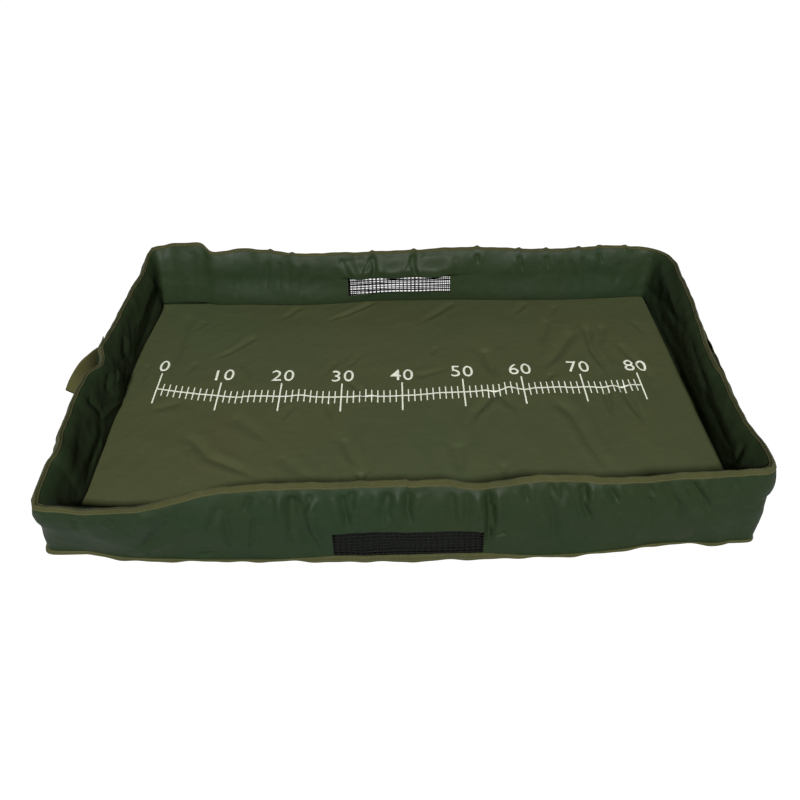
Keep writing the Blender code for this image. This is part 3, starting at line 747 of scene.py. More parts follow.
def crumple_group():
    """Fine creases of thin nylon: ridged noise over a slow swell."""
    inputs = [("Vector", "Vector", None), ("Fine Scale", "Float", 70.0), ("Swell Scale", "Float", 18.0)]
    group, given, out = node_group("fine_crumple", inputs, ("Height", "Float"))
    fine = noise(group, given["Vector"], given["Fine Scale"], 3.0, "RIDGED_MULTIFRACTAL")
    swell = noise(group, given["Vector"], given["Swell Scale"], 4.0, Distortion=0.6)
    group.links.new(maths(group, "ADD", maths(group, "MULTIPLY", fine, 0.25), swell), out)
    return group


def weave_group():
    """Plain weave: crossed sine threads, of which the higher one shows."""
    inputs = [("Vector", "Vector", None), ("Across", "Float", 1400.0), ("Along", "Float", 1400.0)]
    group, given, out = node_group("thread_weave", inputs, ("Height", "Float"))
    parts = add(group, "ShaderNodeSeparateXYZ", [(0, given["Vector"])])
    waves = [
        maths(group, "SINE", maths(group, "MULTIPLY", parts.outputs[n], given[label]))
        for n, label in enumerate(("Across", "Along"))
    ]
    group.links.new(maths(group, "MAXIMUM", *waves), out)
    return group


def tint_group():
    """Two dyes that drift into each other, with specks of dust."""
    inputs = [
        ("Vector", "Vector", None),
        ("Dye", "Color", (0.03, 0.05, 0.03, 1)),
        ("Second Dye", "Color", (0.03, 0.05, 0.03, 1)),
        ("Dust", "Color", (0.2, 0.2, 0.15, 1)),
        ("Dust Amount", "Float", 0.05),
        ("Scale", "Float", 4.0),
    ]
    group, given, out = node_group("dye_and_dust", inputs, ("Color", "Color"))
    drift = noise(group, given["Vector"], given["Scale"], 3.0, Roughness=0.55)
    dyed = mixed(group, mapped(group, drift, 0.35, 0.65), given["Dye"], given["Second Dye"])
    specks = noise(group, given["Vector"], 90.0, 6.0, Roughness=0.7)
    amount = maths(group, "MULTIPLY", mapped(group, specks, 0.45, 0.8), given["Dust Amount"])
    group.links.new(mixed(group, amount, dyed, given["Dust"]), out)
    return group


CRUMPLE, WEAVE, TINT = crumple_group(), weave_group(), tint_group()


def grouped(tree, group, **inputs):
    links = [(key.replace("_", " "), value) for key, value in inputs.items()]
    return add(tree, "ShaderNodeGroup", links, node_tree=group).outputs[0]


def new_material(name, roughness, specular, sheen=0.0, sheen_roughness=0.5):
    made = bpy.data.materials.new(name)
    made.use_nodes = True
    tree = made.node_tree
    shader = tree.nodes["Principled BSDF"].inputs
    shader["Roughness"].default_value = roughness
    shader["Specular IOR Level"].default_value = specular
    shader["Sheen Weight"].default_value = sheen
    shader["Sheen Roughness"].default_value = sheen_roughness
    places = tree.nodes.new("ShaderNodeTexCoord").outputs
    return made, tree, shader, places


def cloth_material(name, dye, second, roughness, fine=0.40, scale=4.0):
    """Coated nylon: drifting dye, fine creases and thread in the bump, soft sheen."""
    made, tree, shader, places = new_material(name, roughness, 0.14, 0.01, 0.4)
    spot = places["Object"]
    tint = {"Dye": (*dye, 1), "Second_Dye": (*second, 1), "Dust_Amount": 0.03, "Scale": scale}
    tree.links.new(grouped(tree, TINT, Vector=spot, **tint), shader["Base Color"])
    folds = grouped(tree, CRUMPLE, Vector=spot)
    rough = mapped(tree, noise(tree, spot, 35.0, 3.0), 0.0, 1.0, roughness - 0.08, roughness + 0.1)
    tree.links.new(rough, shader["Roughness"])
    threads = grouped(tree, WEAVE, Vector=places["UV"], Across=9000.0, Along=9000.0)
    thread_bump = bumped(tree, threads, 0.12, 0.0001)
    tree.links.new(bumped(tree, folds, fine, 0.004, Normal=thread_bump), shader["Normal"])
    return made


def webbing_material(name, colour, second, rib):
    """Woven polypropylene webbing: a ribbed weave in the bump, and painted shade in the weave's hollows,
    which leaves its crests paler.
    """
    made, tree, shader, places = new_material(name, 0.8, 0.15, 0.05, 0.5)
    weave = grouped(tree, WEAVE, Vector=places["UV"], Across=rib, Along=rib * 0.8)
    tint = {"Dye": (*colour, 1), "Second_Dye": (*second, 1), "Dust_Amount": 0.12, "Scale": 14.0}
    tint = grouped(tree, TINT, Vector=places["Object"], **tint)
    # Painted shade: where the weave is low, the colour darkens towards 0.6 of the dye.
    shade = mapped(tree, weave, -1.0, 1.0, 0.0, 0.35)
    deep = mixed(tree, shade, tuple(0.6 * c for c in colour) + (1,), tint)
    tree.links.new(mixed(tree, 0.65, deep, tint), shader["Base Color"])
    tree.links.new(bumped(tree, weave, 0.5, 0.0005), shader["Normal"])
    return made


def plain_material(name, colour, roughness, scale, depth=0.0003, strength=0.4, spread=0.15):
    """A grained surface of one colour family."""
    made, tree, shader, places = new_material(name, roughness, 0.2)
    grain = noise(tree, places["Object"], scale, 4.0)
    low = tuple(c * (1 - spread) for c in colour) + (1,)
    high = tuple(min(c * (1 + spread), 1) for c in colour) + (1,)
    tree.links.new(mixed(tree, grain, low, high), shader["Base Color"])
    tree.links.new(bumped(tree, grain, strength, depth), shader["Normal"])
    return made


# The outer cloth's dye is set darker than the inner cloth's: painted shade, which holds down the light that
# the outer walls catch off the pale floor.
WALL_CLOTH_PAINTED_SHADE = cloth_material("wall_nylon", (0.0127, 0.0280, 0.0107), (0.0168, 0.0280, 0.0094), 0.50)
INNER_CLOTH = cloth_material(
    "inner_nylon", (0.0190, 0.0348, 0.0142), (0.0225, 0.0355, 0.0140), 0.50, fine=0.3
)
FLOOR_CLOTH = cloth_material("floor_nylon", (0.066, 0.072, 0.030), (0.058, 0.072, 0.031), 0.54, scale=2.5)
GROUND_CLOTH = cloth_material("ground_nylon", (0.016, 0.020, 0.015), (0.020, 0.024, 0.017), 0.55)
TAPE_WEBBING = webbing_material("binding_webbing", (0.066, 0.067, 0.022), (0.052, 0.056, 0.019), rib=4200.0)
STRAP_WEBBING = webbing_material("strap_webbing", (0.098, 0.092, 0.026), (0.083, 0.080, 0.025), rib=3600.0)
THREAD = plain_material("sewing_thread", (0.13, 0.125, 0.055), 0.7, 900.0)
NET_YARN = plain_material("net_yarn", (0.0045, 0.0050, 0.0036), 0.8, 900.0)
FOAM = plain_material("foam", (0.050, 0.050, 0.050), 0.9, 600.0, 0.0008, 0.8)
INK = plain_material("ruler_ink", (0.80, 0.82, 0.68), 0.45, 300.0, 0.0001, 0.3, 0.05)
HOOK = plain_material("hook_tape", (0.020, 0.022, 0.014), 0.8, 1500.0, 0.0010, 1.0, 0.5)
LOOP = plain_material("loop_tape", (0.070, 0.078, 0.048), 0.95, 900.0, 0.0012, 1.0, 0.3)


# Walls and corners


def cloth_rows(start, window):
    """The heights of a cloth's rows, with one on each edge of its window."""
    edges = (start, *window, RIM_TOP)
    steps = [max(int((b - a) / CLOTH_PITCH), 2) for a, b in zip(edges, edges[1:])]
    rows = [np.linspace(a, b, n + 1)[:-1] for a, b, n in zip(edges, edges[1:], steps)]
    return np.concatenate([*rows, [RIM_TOP]])


def window_keep(run, band, start):
    """The faces of a lattice that aren't in the drain window."""
    middle = (run.along[:-1, :-1] + run.along[1:, 1:]) / 2
    height = (run.height[:-1, :-1] + run.height[1:, 1:]) / 2
    return ~((middle > start) & (middle < WINDOW / 2) & (height > band[0]) & (height < band[1]))


def tape_path():
    """The rim tape's section as (outwards, height): up the inner cloth, over the rim in a half
    ellipse, and down the outer cloth."""
    clear = CLOTH / 2 + GAP + TAPE / 2
    inner = [(inner_out(h) - clear, h) for h in np.linspace(RIM_TOP - INNER_TAPE_DEPTH, RIM_TOP, 3)]
    outer = [(outer_out(h) + clear, h) for h in np.linspace(RIM_TOP, RIM_TOP - RIM_TAPE_DEPTH, 5)]
    middle, half = (inner[-1][0] + outer[0][0]) / 2, (outer[0][0] - inner[-1][0]) / 2
    turns = np.linspace(0, math.pi, 7)[1:-1]
    dome = [(middle - half * math.cos(t), RIM_TOP + RIM_DOME * math.sin(t)) for t in turns]
    return np.array(inner + dome + outer)


TAPE_PATH = tape_path()
# Where the tape's gathers lift it on the back wall, and how
TAPE_KINKS = [-0.141, -0.218, -0.268, -0.328, -0.366, -0.414, 0.053, -0.024, 0.24, 0.20]
KINK_WIDTH, KINK_HEIGHT = 0.0040, 0.0030
# How much of the ground tape shows below the cloth: (along the front wall, share of its height)
TAPE_SHOWS = [
    (-0.7, 0.8), (-0.437, 1.0), (-0.350, 0.8), (-0.300, 0.4), (-0.170, 0.4), (-0.130, 1.0), (-0.100, 1.6),
    (0.0, 1.8), (0.100, 1.6), (0.130, 1.0), (0.170, 0.4), (0.437, 0.4), (0.7, 0.8),
]  # fmt: skip
LEAST_SHOWN = 0.3
# Ripples of the ground tape's foot, as sines: radians per metre, start, share. It leans out by the
# lean times their height.
GROUND_RIPPLES = ((95, 0, 1.0), (57, 2.0, 0.8), (171, 1, 0.5))
RIPPLE_HEIGHT, RIPPLE_LEAN = 0.0009, 1.6


def tape_surface(run):
    """The tape follows the rim and the folds of both cloths, with kinks where gathers pull at it."""
    out, up = shifted(run, np.broadcast_to(TAPE_PATH[:, :1], run.height.shape))
    outer_share = np.clip((np.arange(len(TAPE_PATH)) - 2) / 6, 0, 1)[:, None]
    out = out + outer_share * outer_folds(run) - (1 - outer_share) * inner_folds(run)
    return out, up + KINK_HEIGHT * sum(bell(run.round - ROUND_BACK - at, KINK_WIDTH) for at in TAPE_KINKS)


def rim_tape(name, run):
    rise = np.concatenate([[0], np.cumsum(np.hypot(*np.diff(TAPE_PATH, axis=0).T))])[:, None]
    return patch_piece(name, run, tape_surface(run), TAPE_WEBBING, TAPE, flip=True, rise=rise)


def ground_run(make_run, shares):
    """The run of the ground seam's tape, whose height goes up and down round the mat. Shares are how
    far up the tape its rows are."""
    shares = np.asarray(shares)[:, None]
    run = make_run(np.full(len(shares), SEAM_Z))
    shows = np.maximum(smooth_curve(TAPE_SHOWS, run.round), LEAST_SHOWN)
    run.height = SEAM_Z + BASE_TAPE_HEIGHT * shows * shares
    run.follow = run.follow * hem_follow(run.height) / hem_follow(SEAM_Z)
    run.share = np.broadcast_to(shares, run.height.shape)
    return run


def ground_surface(run):
    """The ground seam's tape stands off the cloth a little at its foot and ripples."""
    clear = GAP + (CLOTH / 2 + GAP + TAPE) * smooth((1 - run.share) / 0.5)
    out, up = outer_skin(run)
    ripple = sum(size * np.sin(run.round * often + start) for often, start, size in GROUND_RIPPLES)
    return out + clear + RIPPLE_HEIGHT * (1 - run.share) * (RIPPLE_LEAN + ripple), up


STITCH_PITCH, STITCH_LENGTH, STITCH_ARCH = 0.0034, 0.0025, 0.0005
STITCH_RADIUS, STITCH_SIDES = 0.00028, 5
STITCH_SHARES = np.linspace(0, 1, 4)


def stitches(name, rows):
    """Stitches along rows of places, as short strands that rise off the cloth in a parabola and go down
    into it again. A row is its points, their ways off the cloth, and how far they follow the wall."""
    lines, ways, follows = [], [], []
    arch = STITCH_ARCH * 4 * STITCH_SHARES * (1 - STITCH_SHARES)
    for points, way, follow in rows:
        steps = np.linalg.norm(np.diff(points, axis=0), axis=-1)
        far = np.concatenate([[0], np.cumsum(steps)])
        starts = np.arange(max(int(far[-1] / STITCH_PITCH), 1)) * STITCH_PITCH
        at = starts[:, None] + STITCH_SHARES * STITCH_LENGTH
        whole = np.concatenate([points, way, follow[:, None]], axis=-1)
        found = np.stack([np.interp(at, far, column) for column in whole.T], axis=-1)
        off = found[..., 3:6] / np.linalg.norm(found[..., 3:6], axis=-1, keepdims=True)
        lines.append(found[..., :3] + off * arch[:, None])
        ways.append(off)
        follows.append(found[..., 6])
    points, faces, caps = tubes(np.concatenate(lines), STITCH_RADIUS, STITCH_SIDES, np.concatenate(ways))
    piece = make_piece(name, points, faces, THREAD, caps=caps)
    return piece, np.repeat(np.concatenate(follows).ravel(), STITCH_SIDES)


def tape_stitches(name, make_run):
    """A row near the edge of each leg of the rim tape, and two rows along the ground tape."""
    rim, ground = make_run(TAPE_PATH[:, 1]), ground_run(make_run, [0.3, 0.8])
    rows = []
    for run, surface, picked in (
        (rim, tape_surface(rim), ((1, -1), (-2, 1))),
        (ground, ground_surface(ground), ((0, 1), (1, 1))),
    ):
        places = run.points(*surface)
        for row, side in picked:
            way = np.concatenate([run.way[row] * side, np.full((run.way.shape[1], 1), 0.2)], axis=-1)
            rows.append((places[row], way, run.follow[row]))
    return stitches(name, rows)


# The two cloths: side, its rows, surface, drawn section, window, the window's start, material
CLOTHS = [
    ("outer", SEAM_Z, outer_skin, outer_out, OUTER_WINDOW, -WINDOW / 2, WALL_CLOTH_PAINTED_SHADE),
    ("inner", INNER_LOW, inner_skin, inner_out, INNER_WINDOW, INNER_WINDOW_START, INNER_CLOTH),
]


def cloth_set(label, make_run, node, has_window=False):
    """The two cloths, two tapes and stitches over one run, each standing for its own solid."""
    made = {}
    for side, low, skin, drawn, window, start, material in CLOTHS:
        run = make_run(cloth_rows(low, window))
        keep = window_keep(run, window, start) if has_window else None
        flip = side == "inner"
        piece, follow = patch_piece(f"{label}_{side}_skin", run, skin(run), material, CLOTH, flip, keep)
        size, area = cut_size(run, drawn(run.height), keep)
        made[f"{side}_cloth"] = (piece, follow)
    made["rim_tape"] = rim_tape(f"{label}_rim_binding", make_run(TAPE_PATH[:, 1]))
    ground = ground_run(make_run, np.linspace(0, 1, 6))
    made["base_tape"] = patch_piece(
        f"{label}_base_binding", ground, ground_surface(ground), TAPE_WEBBING, TAPE
    )
    thread, follow = tape_stitches(f"{label}_thread", make_run)
    follow_wall(thread)
    for part, (piece, follow) in made.items():
        follow_wall(piece)
        # A wall's tapes are named after its side alone.
        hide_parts(f"{node.removesuffix('_wall') if 'tape' in part else node}_{part}")


def dress_walls():
    for wall in WALLS.values():
        make_wall_run = partial(wall_run, wall)
        cloth_set(wall.body, make_wall_run, wall.body, wall.window)
    for node, pair in CORNERS.items():
        for name, leaving in zip(pair, (True, False)):
            make_corner_run = partial(corner_run, WALLS[name], leaving)
            cloth_set(f"{node}_{name}_side", make_corner_run, node)


SLAB_OUTER_CLEAR, SLAB_INNER_CLEAR = 0.0115, 0.0080
SLAB_LOW, SLAB_HIGH = SEAM_Z + 0.003, RIM_TOP - 0.020
SLAB_END_CLEAR, SLAB_WINDOW_CLEAR = 0.002, 0.008
SLAB_ROWS = 12


def foam_slabs():
    """The foam inside each wall, a little inside its cloths: up behind the outer one and down behind
    the inner one. It stops short of a drain window."""
    up_rows, down_rows = (SLAB_LOW, SLAB_HIGH), (SLAB_HIGH, SLAB_LOW)
    heights = np.concatenate([np.linspace(*ends, SLAB_ROWS) for ends in (up_rows, down_rows)])[:, None]
    for wall in WALLS.values():
        reach = wall.straight - corner_lean(heights) - SLAB_END_CLEAR
        for suffix, sign in [("_left", -1), ("_right", 1)] if wall.window else [("", 0)]:
            # Left and right are seen from the front, which turns them round on the back wall.
            toward = sign * (1 if wall.along[0] >= 0 else -1)
            if sign:
                first = WINDOW / 2 + SLAB_WINDOW_CLEAR
                along = toward * (first + (reach - first) * np.linspace(0, 1, 30))
                along = along if toward > 0 else along[:, ::-1]
            else:
                along = reach * np.linspace(-1, 1, 40)
            run = straight_run(wall, along, np.broadcast_to(heights, along.shape))
            out, up = shifted(run, outer_out(run.height) - SLAB_OUTER_CLEAR)
            inner = inner_out(np.maximum(run.height, INNER_LOW)) + SLAB_INNER_CLEAR
            out[SLAB_ROWS:] = shifted(run, inner)[0][SLAB_ROWS:]
            number = np.arange(along.size).reshape(along.shape)
            last = [number[-1, :-1], number[-1, 1:], number[0, 1:], number[0, :-1]]
            faces = np.concatenate([lattice_faces(*along.shape), np.stack(last, axis=-1)])
            caps = [number[:, -1], number[::-1, 0]]
            piece = make_piece(f"{wall.body}_slab{suffix}", run.points(out, up), faces, FOAM, caps=caps)
            follow_wall(piece)
            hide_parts(f"{wall.body}_foam{suffix}")


NET_COLUMNS, NET_BARS, NET_RADIUS = 27, 10, 0.00085
NET_LAP, NET_DEPTH = 0.004, 0.0016


def net(wall, side):
    """Knitted mesh behind a window: strands across and up it, flat on the cloth that holds it."""
    band, skin, depth = {
        "outer": (OUTER_WINDOW, outer_skin, -NET_DEPTH),
        "inner": (INNER_WINDOW, inner_skin, NET_DEPTH),
    }[side]
    low, high, half = band[0] - NET_LAP, band[1] + NET_LAP, WINDOW / 2 + NET_LAP
    pitch = WINDOW / NET_COLUMNS
    uprights = np.arange(-half + pitch / 2, half, pitch)[:, None], np.linspace(low, high, 24)[None, :]
    bars = np.linspace(-half, half, 90)[None, :], np.linspace(low, high, NET_BARS)[:, None]
    points, faces, caps, count = [], [], [], 0
    for strands in (uprights, bars):
        run = straight_run(wall, *np.broadcast_arrays(*strands))
        out, up = skin(run)
        lines = run.points(out + depth, up)
        normals = np.broadcast_to([*wall.outward, 0.0], lines.shape)
        new_points, new_faces, new_caps = tubes(lines, NET_RADIUS, 6, normals)
        points.append(new_points)
        faces.append(new_faces + count)
        caps += [cap + count for cap in new_caps]
        count += len(new_points)
    name = f"{wall.name}_{side}"
    piece = make_piece(f"{name}_mesh", np.concatenate(points), np.concatenate(faces), NET_YARN, caps=caps)
    follow_wall(piece)
    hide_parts(f"{name}_drain_net")


# Floor


def floor_lattice():
    """Columns and rows over the floor, whose columns draw in to the corners' radius."""
    columns, rows = int(FLOOR_LENGTH / FLOOR_PITCH), int(FLOOR_WIDTH / FLOOR_PITCH)
    share, y = np.meshgrid(np.linspace(-1, 1, columns + 1), np.linspace(-1, 1, rows + 1) * FLOOR_WIDTH / 2)
    past = np.maximum(np.abs(y) - (SHORT - CORNER_RADIUS), 0) / CORNER_RADIUS
    half = LONG - CORNER_RADIUS + CORNER_RADIUS * (1 - np.minimum(past, 1) ** 5) ** (1 / 5)
    return share * half, y


EDGE_TUCK, EDGE_TUCK_WIDTH = 0.0015, 0.004
FOAM_BELOW, FOAM_THICKNESS = 0.0100, 0.0165
GROUND_Z, GROUND_THICKNESS = 0.0013, 0.0011


def floor_pieces():
    """The floor cloth, whose edge tucks down behind the foot of the walls' inner cloths, and its foam."""
    x, y = floor_lattice()
    z = floor_height(x, y) - EDGE_TUCK * (1 - smooth(floor_edge(x, y) / EDGE_TUCK_WIDTH))
    points, uv = np.stack([x, y, z], axis=-1), np.stack([x, y], axis=-1)
    cloth = make_piece("floor_cloth_top", points, lattice_faces(*x.shape), FLOOR_CLOTH, uv)
    thicken(cloth, CLOTH)
    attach(cloth, "base")
    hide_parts("floor_cloth")

    x, y = x[::4, ::4], y[::4, ::4]
    top = np.stack([x, y, FLOOR_TOP - FOAM_BELOW + crown_at(x, y)], axis=-1)
    foam = make_piece("floor_foam", top, lattice_faces(*x.shape), FOAM)
    thicken(foam, FOAM_THICKNESS)
    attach(foam, "base")
    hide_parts("base_foam")


def ground_sheet():
    """The cloth under the mat: rings that shrink from the ground seam to its middle."""
    ring = seam_loop()
    shares = np.linspace(1, 0.02, 12)
    flat = shares[:, None, None] * ring[None]
    below = np.concatenate([flat, np.full((*flat.shape[:2], 1), GROUND_Z)], axis=-1)
    faces = lattice_faces(*flat.shape[:2], close=True)
    middle = [np.arange(len(ring)) + (len(shares) - 1) * len(ring)]
    ground = make_piece("ground_cloth", below, faces, GROUND_CLOTH, flat, caps=middle)
    thicken(ground, GROUND_THICKNESS)
    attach(ground, "base")
    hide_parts("ground_sheet")


def seam_loop():
    """The line of the ground seam all round the mat, on the ground plan."""
    pieces = []
    for first, second in CORNERS.values():
        for run in (
            wall_run(WALLS[first], [SEAM_Z], 0.01),
            corner_run(WALLS[first], True, [SEAM_Z], 8),
            corner_run(WALLS[second], False, [SEAM_Z], 8),
        ):
            out, up = shifted(run, outer_out(run.height) - CLOTH)
            pieces.append(run.points(out, up)[0, :-1, :2])
    return np.concatenate(pieces)


# The ruler's tens of centimetres, as (x, y): the line wanders, because the cloth isn't laid square.
RULER_TENS = [
    (-0.4080, 0.0060), (-0.3030, -0.0165), (-0.2020, -0.0225), (-0.1020, -0.0270), (-0.0030, -0.0255),
    (0.0975, -0.0190), (0.1950, -0.0140), (0.2940, -0.0112), (0.3900, -0.0060),
]  # fmt: skip
# Small wanderings of the line where the cloth is drawn up: (reading, forwards, half width), centimetres
RULER_WANDERS = [
    (23.4, 0.42, 1.6), (13.0, -0.20, 2.0), (34.0, 0.30, 1.2), (57.6, 0.60, 1.1),
    (60.4, -0.25, 1.0), (66.0, 0.25, 1.5), (73.0, -0.25, 1.2),
]  # fmt: skip
LINE_HALF_WIDTH, TICK_WIDTH, LONG_TICK_WIDTH = 0.0013, 0.0018, 0.0024
# How far a tick goes above and below the line: at a centimetre, at ten, and at the two ends
TICK = (0.0145, 0.0150)
LONG_TICK = (0.033, 0.035)
END_TICKS = {0: (0.040, 0.036), 80: (0.031, 0.036)}
INK_LIFT, INK_THICKNESS = 0.00035, 0.0002
NUMBER_SIZE, NUMBER_OFFSET, NUMBER_SPACE, NUMBER_WIDTH = 0.0400, 0.0001, 0.007, 0.95
NUMBER_SHIFTS = {80: 0.002}
NUMBER_PITCH = 0.0035


def ruler_at(centimetres):
    """Where a reading of the ruler lies on the floor: a parabola through each three of its tens, and
    the small wanderings."""
    tens = np.array(RULER_TENS)
    at = np.asarray(centimetres, float) / 10
    first = np.clip(np.round(at).astype(int) - 1, 0, len(tens) - 3)
    t = (at - first)[..., None]
    a, b, c = tens[first], tens[first + 1], tens[first + 2]
    place = a * (t - 1) * (t - 2) / 2 - b * t * (t - 2) + c * t * (t - 1) / 2
    wander = sum(size * bell(at * 10 - reading, wide) for reading, size, wide in RULER_WANDERS)
    return place + 0.01 * wander[..., None] * np.array([0, 1.0])


def tick(centimetre):
    """An upright strip of ink across the line, as a lattice two points wide."""
    x, y = ruler_at(centimetre)
    is_long = centimetre % 10 == 0
    above, below = END_TICKS.get(centimetre, LONG_TICK) if is_long else TICK
    width, steps = (LONG_TICK_WIDTH, 28) if is_long else (TICK_WIDTH, 12)
    grid = np.meshgrid([x - width / 2, x + width / 2], np.linspace(y - below, y + above, steps + 1))
    return np.stack(grid, axis=-1)


def ruler():
    line, half = ruler_at(np.linspace(0, 80, 321)), np.array([0, LINE_HALF_WIDTH])
    strips = [np.stack([line + half, line - half], axis=1)] + [tick(centimetre) for centimetre in range(81)]
    points, faces, count = [], [], 0
    for strip in strips:
        z = floor_height(strip[..., 0], strip[..., 1]) + INK_LIFT
        points.append(np.concatenate([strip, z[..., None]], axis=-1).reshape(-1, 3))
        faces.append(lattice_faces(len(strip), 2) + count)
        count += strip.shape[0] * 2
    return make_piece("ruler_scale", np.concatenate(points), np.concatenate(faces), INK)


def ruler_number(value):
    """A number as a flat mesh, at its place above the line."""
    curve = bpy.data.curves.new(f"number_{value}", "FONT")
    curve.body = str(value)
    curve.size = NUMBER_SIZE
    curve.offset = NUMBER_OFFSET
    curve.space_character = 1.08
    curve.align_x = "CENTER"
    curve.resolution_u = 6
    written = linked(f"number_{value}", curve)
    mesh = bpy.data.meshes.new_from_object(written.evaluated_get(bpy.context.evaluated_depsgraph_get()))
    bpy.data.objects.remove(written)
    x, y = ruler_at(value)
    above = END_TICKS.get(value, LONG_TICK)[0]
    place = Matrix.Translation((x + NUMBER_SHIFTS.get(value, 0), y + above + NUMBER_SPACE, 0))
    mesh.transform(place @ Matrix.Diagonal((NUMBER_WIDTH, 1, 1, 1)))
    return mesh


def ruler_numbers():
    """The numbers as one mesh, cut fine enough to follow the cloth's creases."""
    whole = bmesh.new()
    for value in range(0, 90, 10):
        mesh = ruler_number(value)
        whole.from_mesh(mesh)
        bpy.data.meshes.remove(mesh)
    bmesh.ops.remove_doubles(whole, verts=whole.verts, dist=0.00001)
    bmesh.ops.triangulate(whole, faces=whole.faces)
    for _ in range(3):
        long_edges = [edge for edge in whole.edges if edge.calc_length() > NUMBER_PITCH]
        bmesh.ops.subdivide_edges(whole, edges=long_edges, cuts=1)
        bmesh.ops.triangulate(whole, faces=whole.faces)
    mesh = bpy.data.meshes.new("ruler_numbers")
    whole.to_mesh(mesh)
    whole.free()
    points = np.empty(len(mesh.vertices) * 3)
    mesh.vertices.foreach_get("co", points)
    points = points.reshape(-1, 3)
    points[:, 2] = floor_height(points[:, 0], points[:, 1]) + INK_LIFT
    mesh.vertices.foreach_set("co", points.ravel())
    mesh.materials.append(INK)
    mesh.update()
    return linked("ruler_numbers", mesh)


def printed_ruler():
    for make in (ruler, ruler_numbers):
        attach(thicken(make(), INK_THICKNESS), "base")


# Straps. Each says how far the free length bows off the wall, flares out and twists, in degrees, how far
# it stands off its drawn line near the hinge and at its end, as the wall does, and how its end droops.
STRAPS = [
    {
        "side": "left", "place_y": 0.022, "length": 0.082, "bow": 0.002, "flare": 3.0, "twist": 76.0,
        "near_stand": -0.0040, "end_stand": -0.0105, "droop": 0.0110,
        "patch": "hook", "patch_length": 0.050, "faces_out": True,
    },
    {
        "side": "right", "place_y": 0.105, "length": 0.240, "bow": 0.001, "flare": 0.0, "twist": 4.0,
        "near_stand": 0.0003, "end_stand": -0.0112, "droop": 0.0010,
        "patch": "loop", "patch_length": 0.110, "faces_out": False,
    },
]  # fmt: skip
PATCH, PATCH_WIDTH, PATCH_END_MARGIN = 0.0014, 0.024, 0.006
BOX_MARGIN = 0.003


def strap_axes(wall, place_y):
    """Origin and axes of a strap's seat: off the wall, forwards along the strap, and up its width."""
    side = wall.outward[0]
    origin = np.array([side * (wall.distance + STRAP_SEAT_OUT), place_y, STRAP_SEAT_LOW])
    off = np.array([side * math.cos(STRAP_LEAN), 0, math.sin(STRAP_LEAN)])
    forward = np.array([0, -1.0, 0])
    up = np.array([-side * math.sin(STRAP_LEAN), 0, math.cos(STRAP_LEAN)])
    return origin, off, forward, up


def strap(
    side, place_y, length, bow, flare, twist, near_stand, end_stand, droop, patch, patch_length, faces_out
):
    """Webbing sewn flat on the wall, whose free length swings out by the flare and then lies back: the
    cross-section turns about the strap's lower edge in proportion to the length, and bows off the wall
    by a half sine."""
    wall, body = WALLS[side], f"{side}_strap"
    origin, off, forward, up = strap_axes(wall, place_y)

    def lie(along, depth, rise):
        free = np.maximum(along, 0)
        share = free / length
        turn = math.radians(twist) * share
        across = bow * np.sin(math.pi * share) + depth * np.cos(turn) + rise * np.sin(turn)
        raised = rise * np.cos(turn) - depth * np.sin(turn) - droop * share**2
        swing = math.radians(flare) * smooth(free / 0.010)
        forwards = np.minimum(along, 0) + free * np.cos(swing) - across * np.sin(swing)
        stand = near_stand + (end_stand - near_stand) * along / length
        offs = free * np.sin(swing) + across * np.cos(swing) + stand
        parts = [(forwards, forward), (offs, off), (raised, up)]
        return origin + sum(amount[..., None] * axis for amount, axis in parts)

    def band(name, along, low, high, width, material, edge):
        """A closed tube of webbing: its two faces and rounded edges, with woven selvedges."""
        across = np.linspace(0, 1, 15)
        thin = edge * np.maximum(np.abs(2 * across - 1) - 0.86, 0) / 0.14
        ring = [*zip(across * width, high - thin), *zip(across[::-1] * width, low + thin)]
        rise, depth = np.array(ring).T
        rise = rise + (WEBBING_WIDTH - width) / 2
        along, rise, depth = along[:, None], rise[None, :], depth[None, :]
        ripple = 0.0005 * np.sin(along * 190 + place_y * 300) * (rise / WEBBING_WIDTH) ** 2
        grid = np.broadcast_arrays(along, depth + ripple, rise)
        flip = wall.outward[0] < 0
        rows, columns = grid[0].shape
        number = np.arange(rows * columns).reshape(rows, columns)
        caps = [number[0, ::-1], number[-1]] if flip else [number[0], number[-1, ::-1]]
        faces = lattice_faces(rows, columns, close=True, flip=flip)
        return make_piece(name, lie(*grid), faces, material, np.stack(grid[::2], axis=-1), caps)

    along = np.concatenate([np.linspace(-STRAP_SEWN_LENGTH, 0, 14)[:-1], np.linspace(0, length, 70)])
    webbing = band(f"{body}_webbing", along, -WEBBING, 0.0, WEBBING_WIDTH, STRAP_WEBBING, 0.0006)
    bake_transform(webbing)
    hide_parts(body, f"{body}_sewn_end")
    near = GAP if faces_out else -WEBBING - GAP - PATCH
    reach = np.linspace(-patch_length, 0, 40) + length - PATCH_END_MARGIN
    material = HOOK if patch == "hook" else LOOP
    pad = band(f"{body}_{patch}_pile", reach, near, near + PATCH, PATCH_WIDTH, material, 0.0004)
    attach(pad, body)
    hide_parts(f"{body}_{patch}_patch")

    # The box of stitches, with its cross, that holds the strap's end on the wall
    low, high = BOX_MARGIN, WEBBING_WIDTH - BOX_MARGIN
    back, front = BOX_MARGIN - STRAP_SEWN_LENGTH, -BOX_MARGIN
    corners = np.array([(back, low), (front, low), (front, high), (back, high)])
    share = np.linspace(0, 1, 12)[:, None]
    rows = []
    for first, second in [(0, 1), (1, 2), (2, 3), (3, 0), (0, 2), (1, 3)]:
        line = corners[first] * (1 - share) + corners[second] * share
        points = lie(line[:, 0], np.zeros(len(line)), line[:, 1])
        rows.append((points, np.broadcast_to(off, points.shape), np.zeros(len(points))))
    thread, _ = stitches(f"{body}_thread", rows)
    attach(thread, wall.body)


# Stage, lights and camera

FLOOR_COLOUR, FLOOR_GLOW, GLOW_SHARE = (0.55, 0.55, 0.55, 1), 1.15, 0.86
WORLD_LIGHT = 0.018


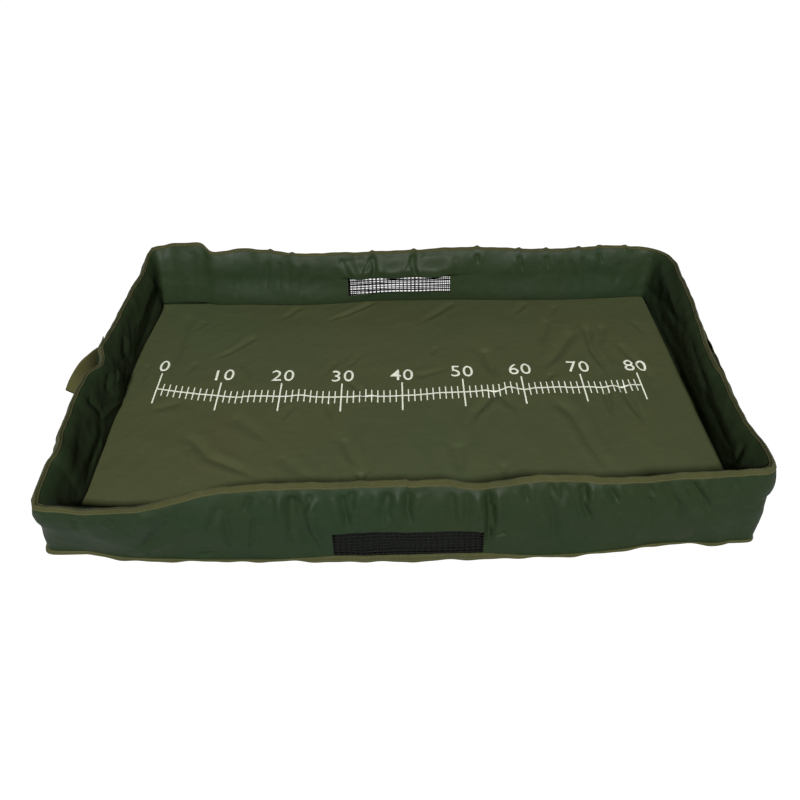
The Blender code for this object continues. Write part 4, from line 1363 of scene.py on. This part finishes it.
def seen_directly(tree):
    """1 for what the camera sees itself, or through something clear."""
    rays = tree.nodes.new("ShaderNodeLightPath").outputs
    return maths(tree, "MAXIMUM", rays["Is Camera Ray"], rays["Is Transmission Ray"])


def stage():
    bpy.ops.mesh.primitive_plane_add(size=30, location=(0, 0, -0.0006))
    floor = bpy.context.object
    floor.name = "studio_floor"
    made, tree, shader, _ = new_material("studio_floor", 0.9, 0.0)
    shader["Base Color"].default_value = FLOOR_COLOUR
    glow = add(tree, "ShaderNodeEmission", [("Color", (1, 1, 1, 1)), ("Strength", FLOOR_GLOW)])
    share = maths(tree, "MULTIPLY", seen_directly(tree), GLOW_SHARE)
    surface = tree.nodes["Principled BSDF"].outputs[0]
    mix = add(tree, "ShaderNodeMixShader", [(0, share), (1, surface), (2, glow.outputs[0])])
    tree.links.new(mix.outputs[0], tree.nodes["Material Output"].inputs["Surface"])
    floor.data.materials.append(made)


def area_light(name, place, size, power):
    """A rectangle of light that looks at the middle of the mat."""
    data = bpy.data.lights.new(name, "AREA")
    data.shape = "RECTANGLE"
    data.size, data.size_y = size
    data.energy = power
    turn = (-Vector(place)).to_track_quat("-Z", "Y").to_matrix().to_4x4()
    linked(name, data).matrix_world = Matrix.Translation(place) @ turn


def lights():
    area_light("key", (0.05, -4.8, 4.8), (1.0, 0.7), 565)
    area_light("rear", (-0.3, 2.6, 1.8), (2.4, 1.2), 4)
    world = bpy.data.worlds.new("studio")
    bpy.context.scene.world = world
    world.use_nodes = True
    tree = world.node_tree
    back = tree.nodes["Background"].inputs
    back["Color"].default_value = (1, 1, 1, 1)
    tree.links.new(mapped(tree, seen_directly(tree), 0.0, 1.0, WORLD_LIGHT, 1.0), back["Strength"])


CAMERA_PLACE = (-0.01177, -0.93009, 0.82071)
CAMERA_PITCH, CAMERA_YAW, CAMERA_ROLL = map(math.radians, (41.288, 0.302, -0.809))
CAMERA_LENS, CAMERA_SENSOR = 33.3, 36


def camera():
    """The camera looks down by the pitch, to the right by the yaw, and is rolled about where it looks."""
    data = bpy.data.cameras.new("camera")
    data.sensor_width = CAMERA_SENSOR
    data.lens = CAMERA_LENS
    made = linked("camera", data)
    flat = math.cos(CAMERA_PITCH)
    look = np.array([math.sin(CAMERA_YAW) * flat, math.cos(CAMERA_YAW) * flat, -math.sin(CAMERA_PITCH)])
    level = np.array([math.cos(CAMERA_YAW), -math.sin(CAMERA_YAW), 0])
    above = np.cross(level, look)
    right = math.cos(CAMERA_ROLL) * level + math.sin(CAMERA_ROLL) * above
    up = math.cos(CAMERA_ROLL) * above - math.sin(CAMERA_ROLL) * level
    axes = np.eye(4)
    axes[:3] = np.stack([right, up, -look, CAMERA_PLACE], axis=1)
    made.matrix_world = Matrix(axes.tolist())
    bpy.context.scene.camera = made


camera()
lights()
stage()
dress_walls()
foam_slabs()
for long_wall in (WALLS["front"], WALLS["back"]):
    for face in ("outer", "inner"):
        net(long_wall, face)
floor_pieces()
ground_sheet()
printed_ruler()
for one_strap in STRAPS:
    strap(**one_strap)

bpy.context.scene.view_settings.view_transform = "Standard"
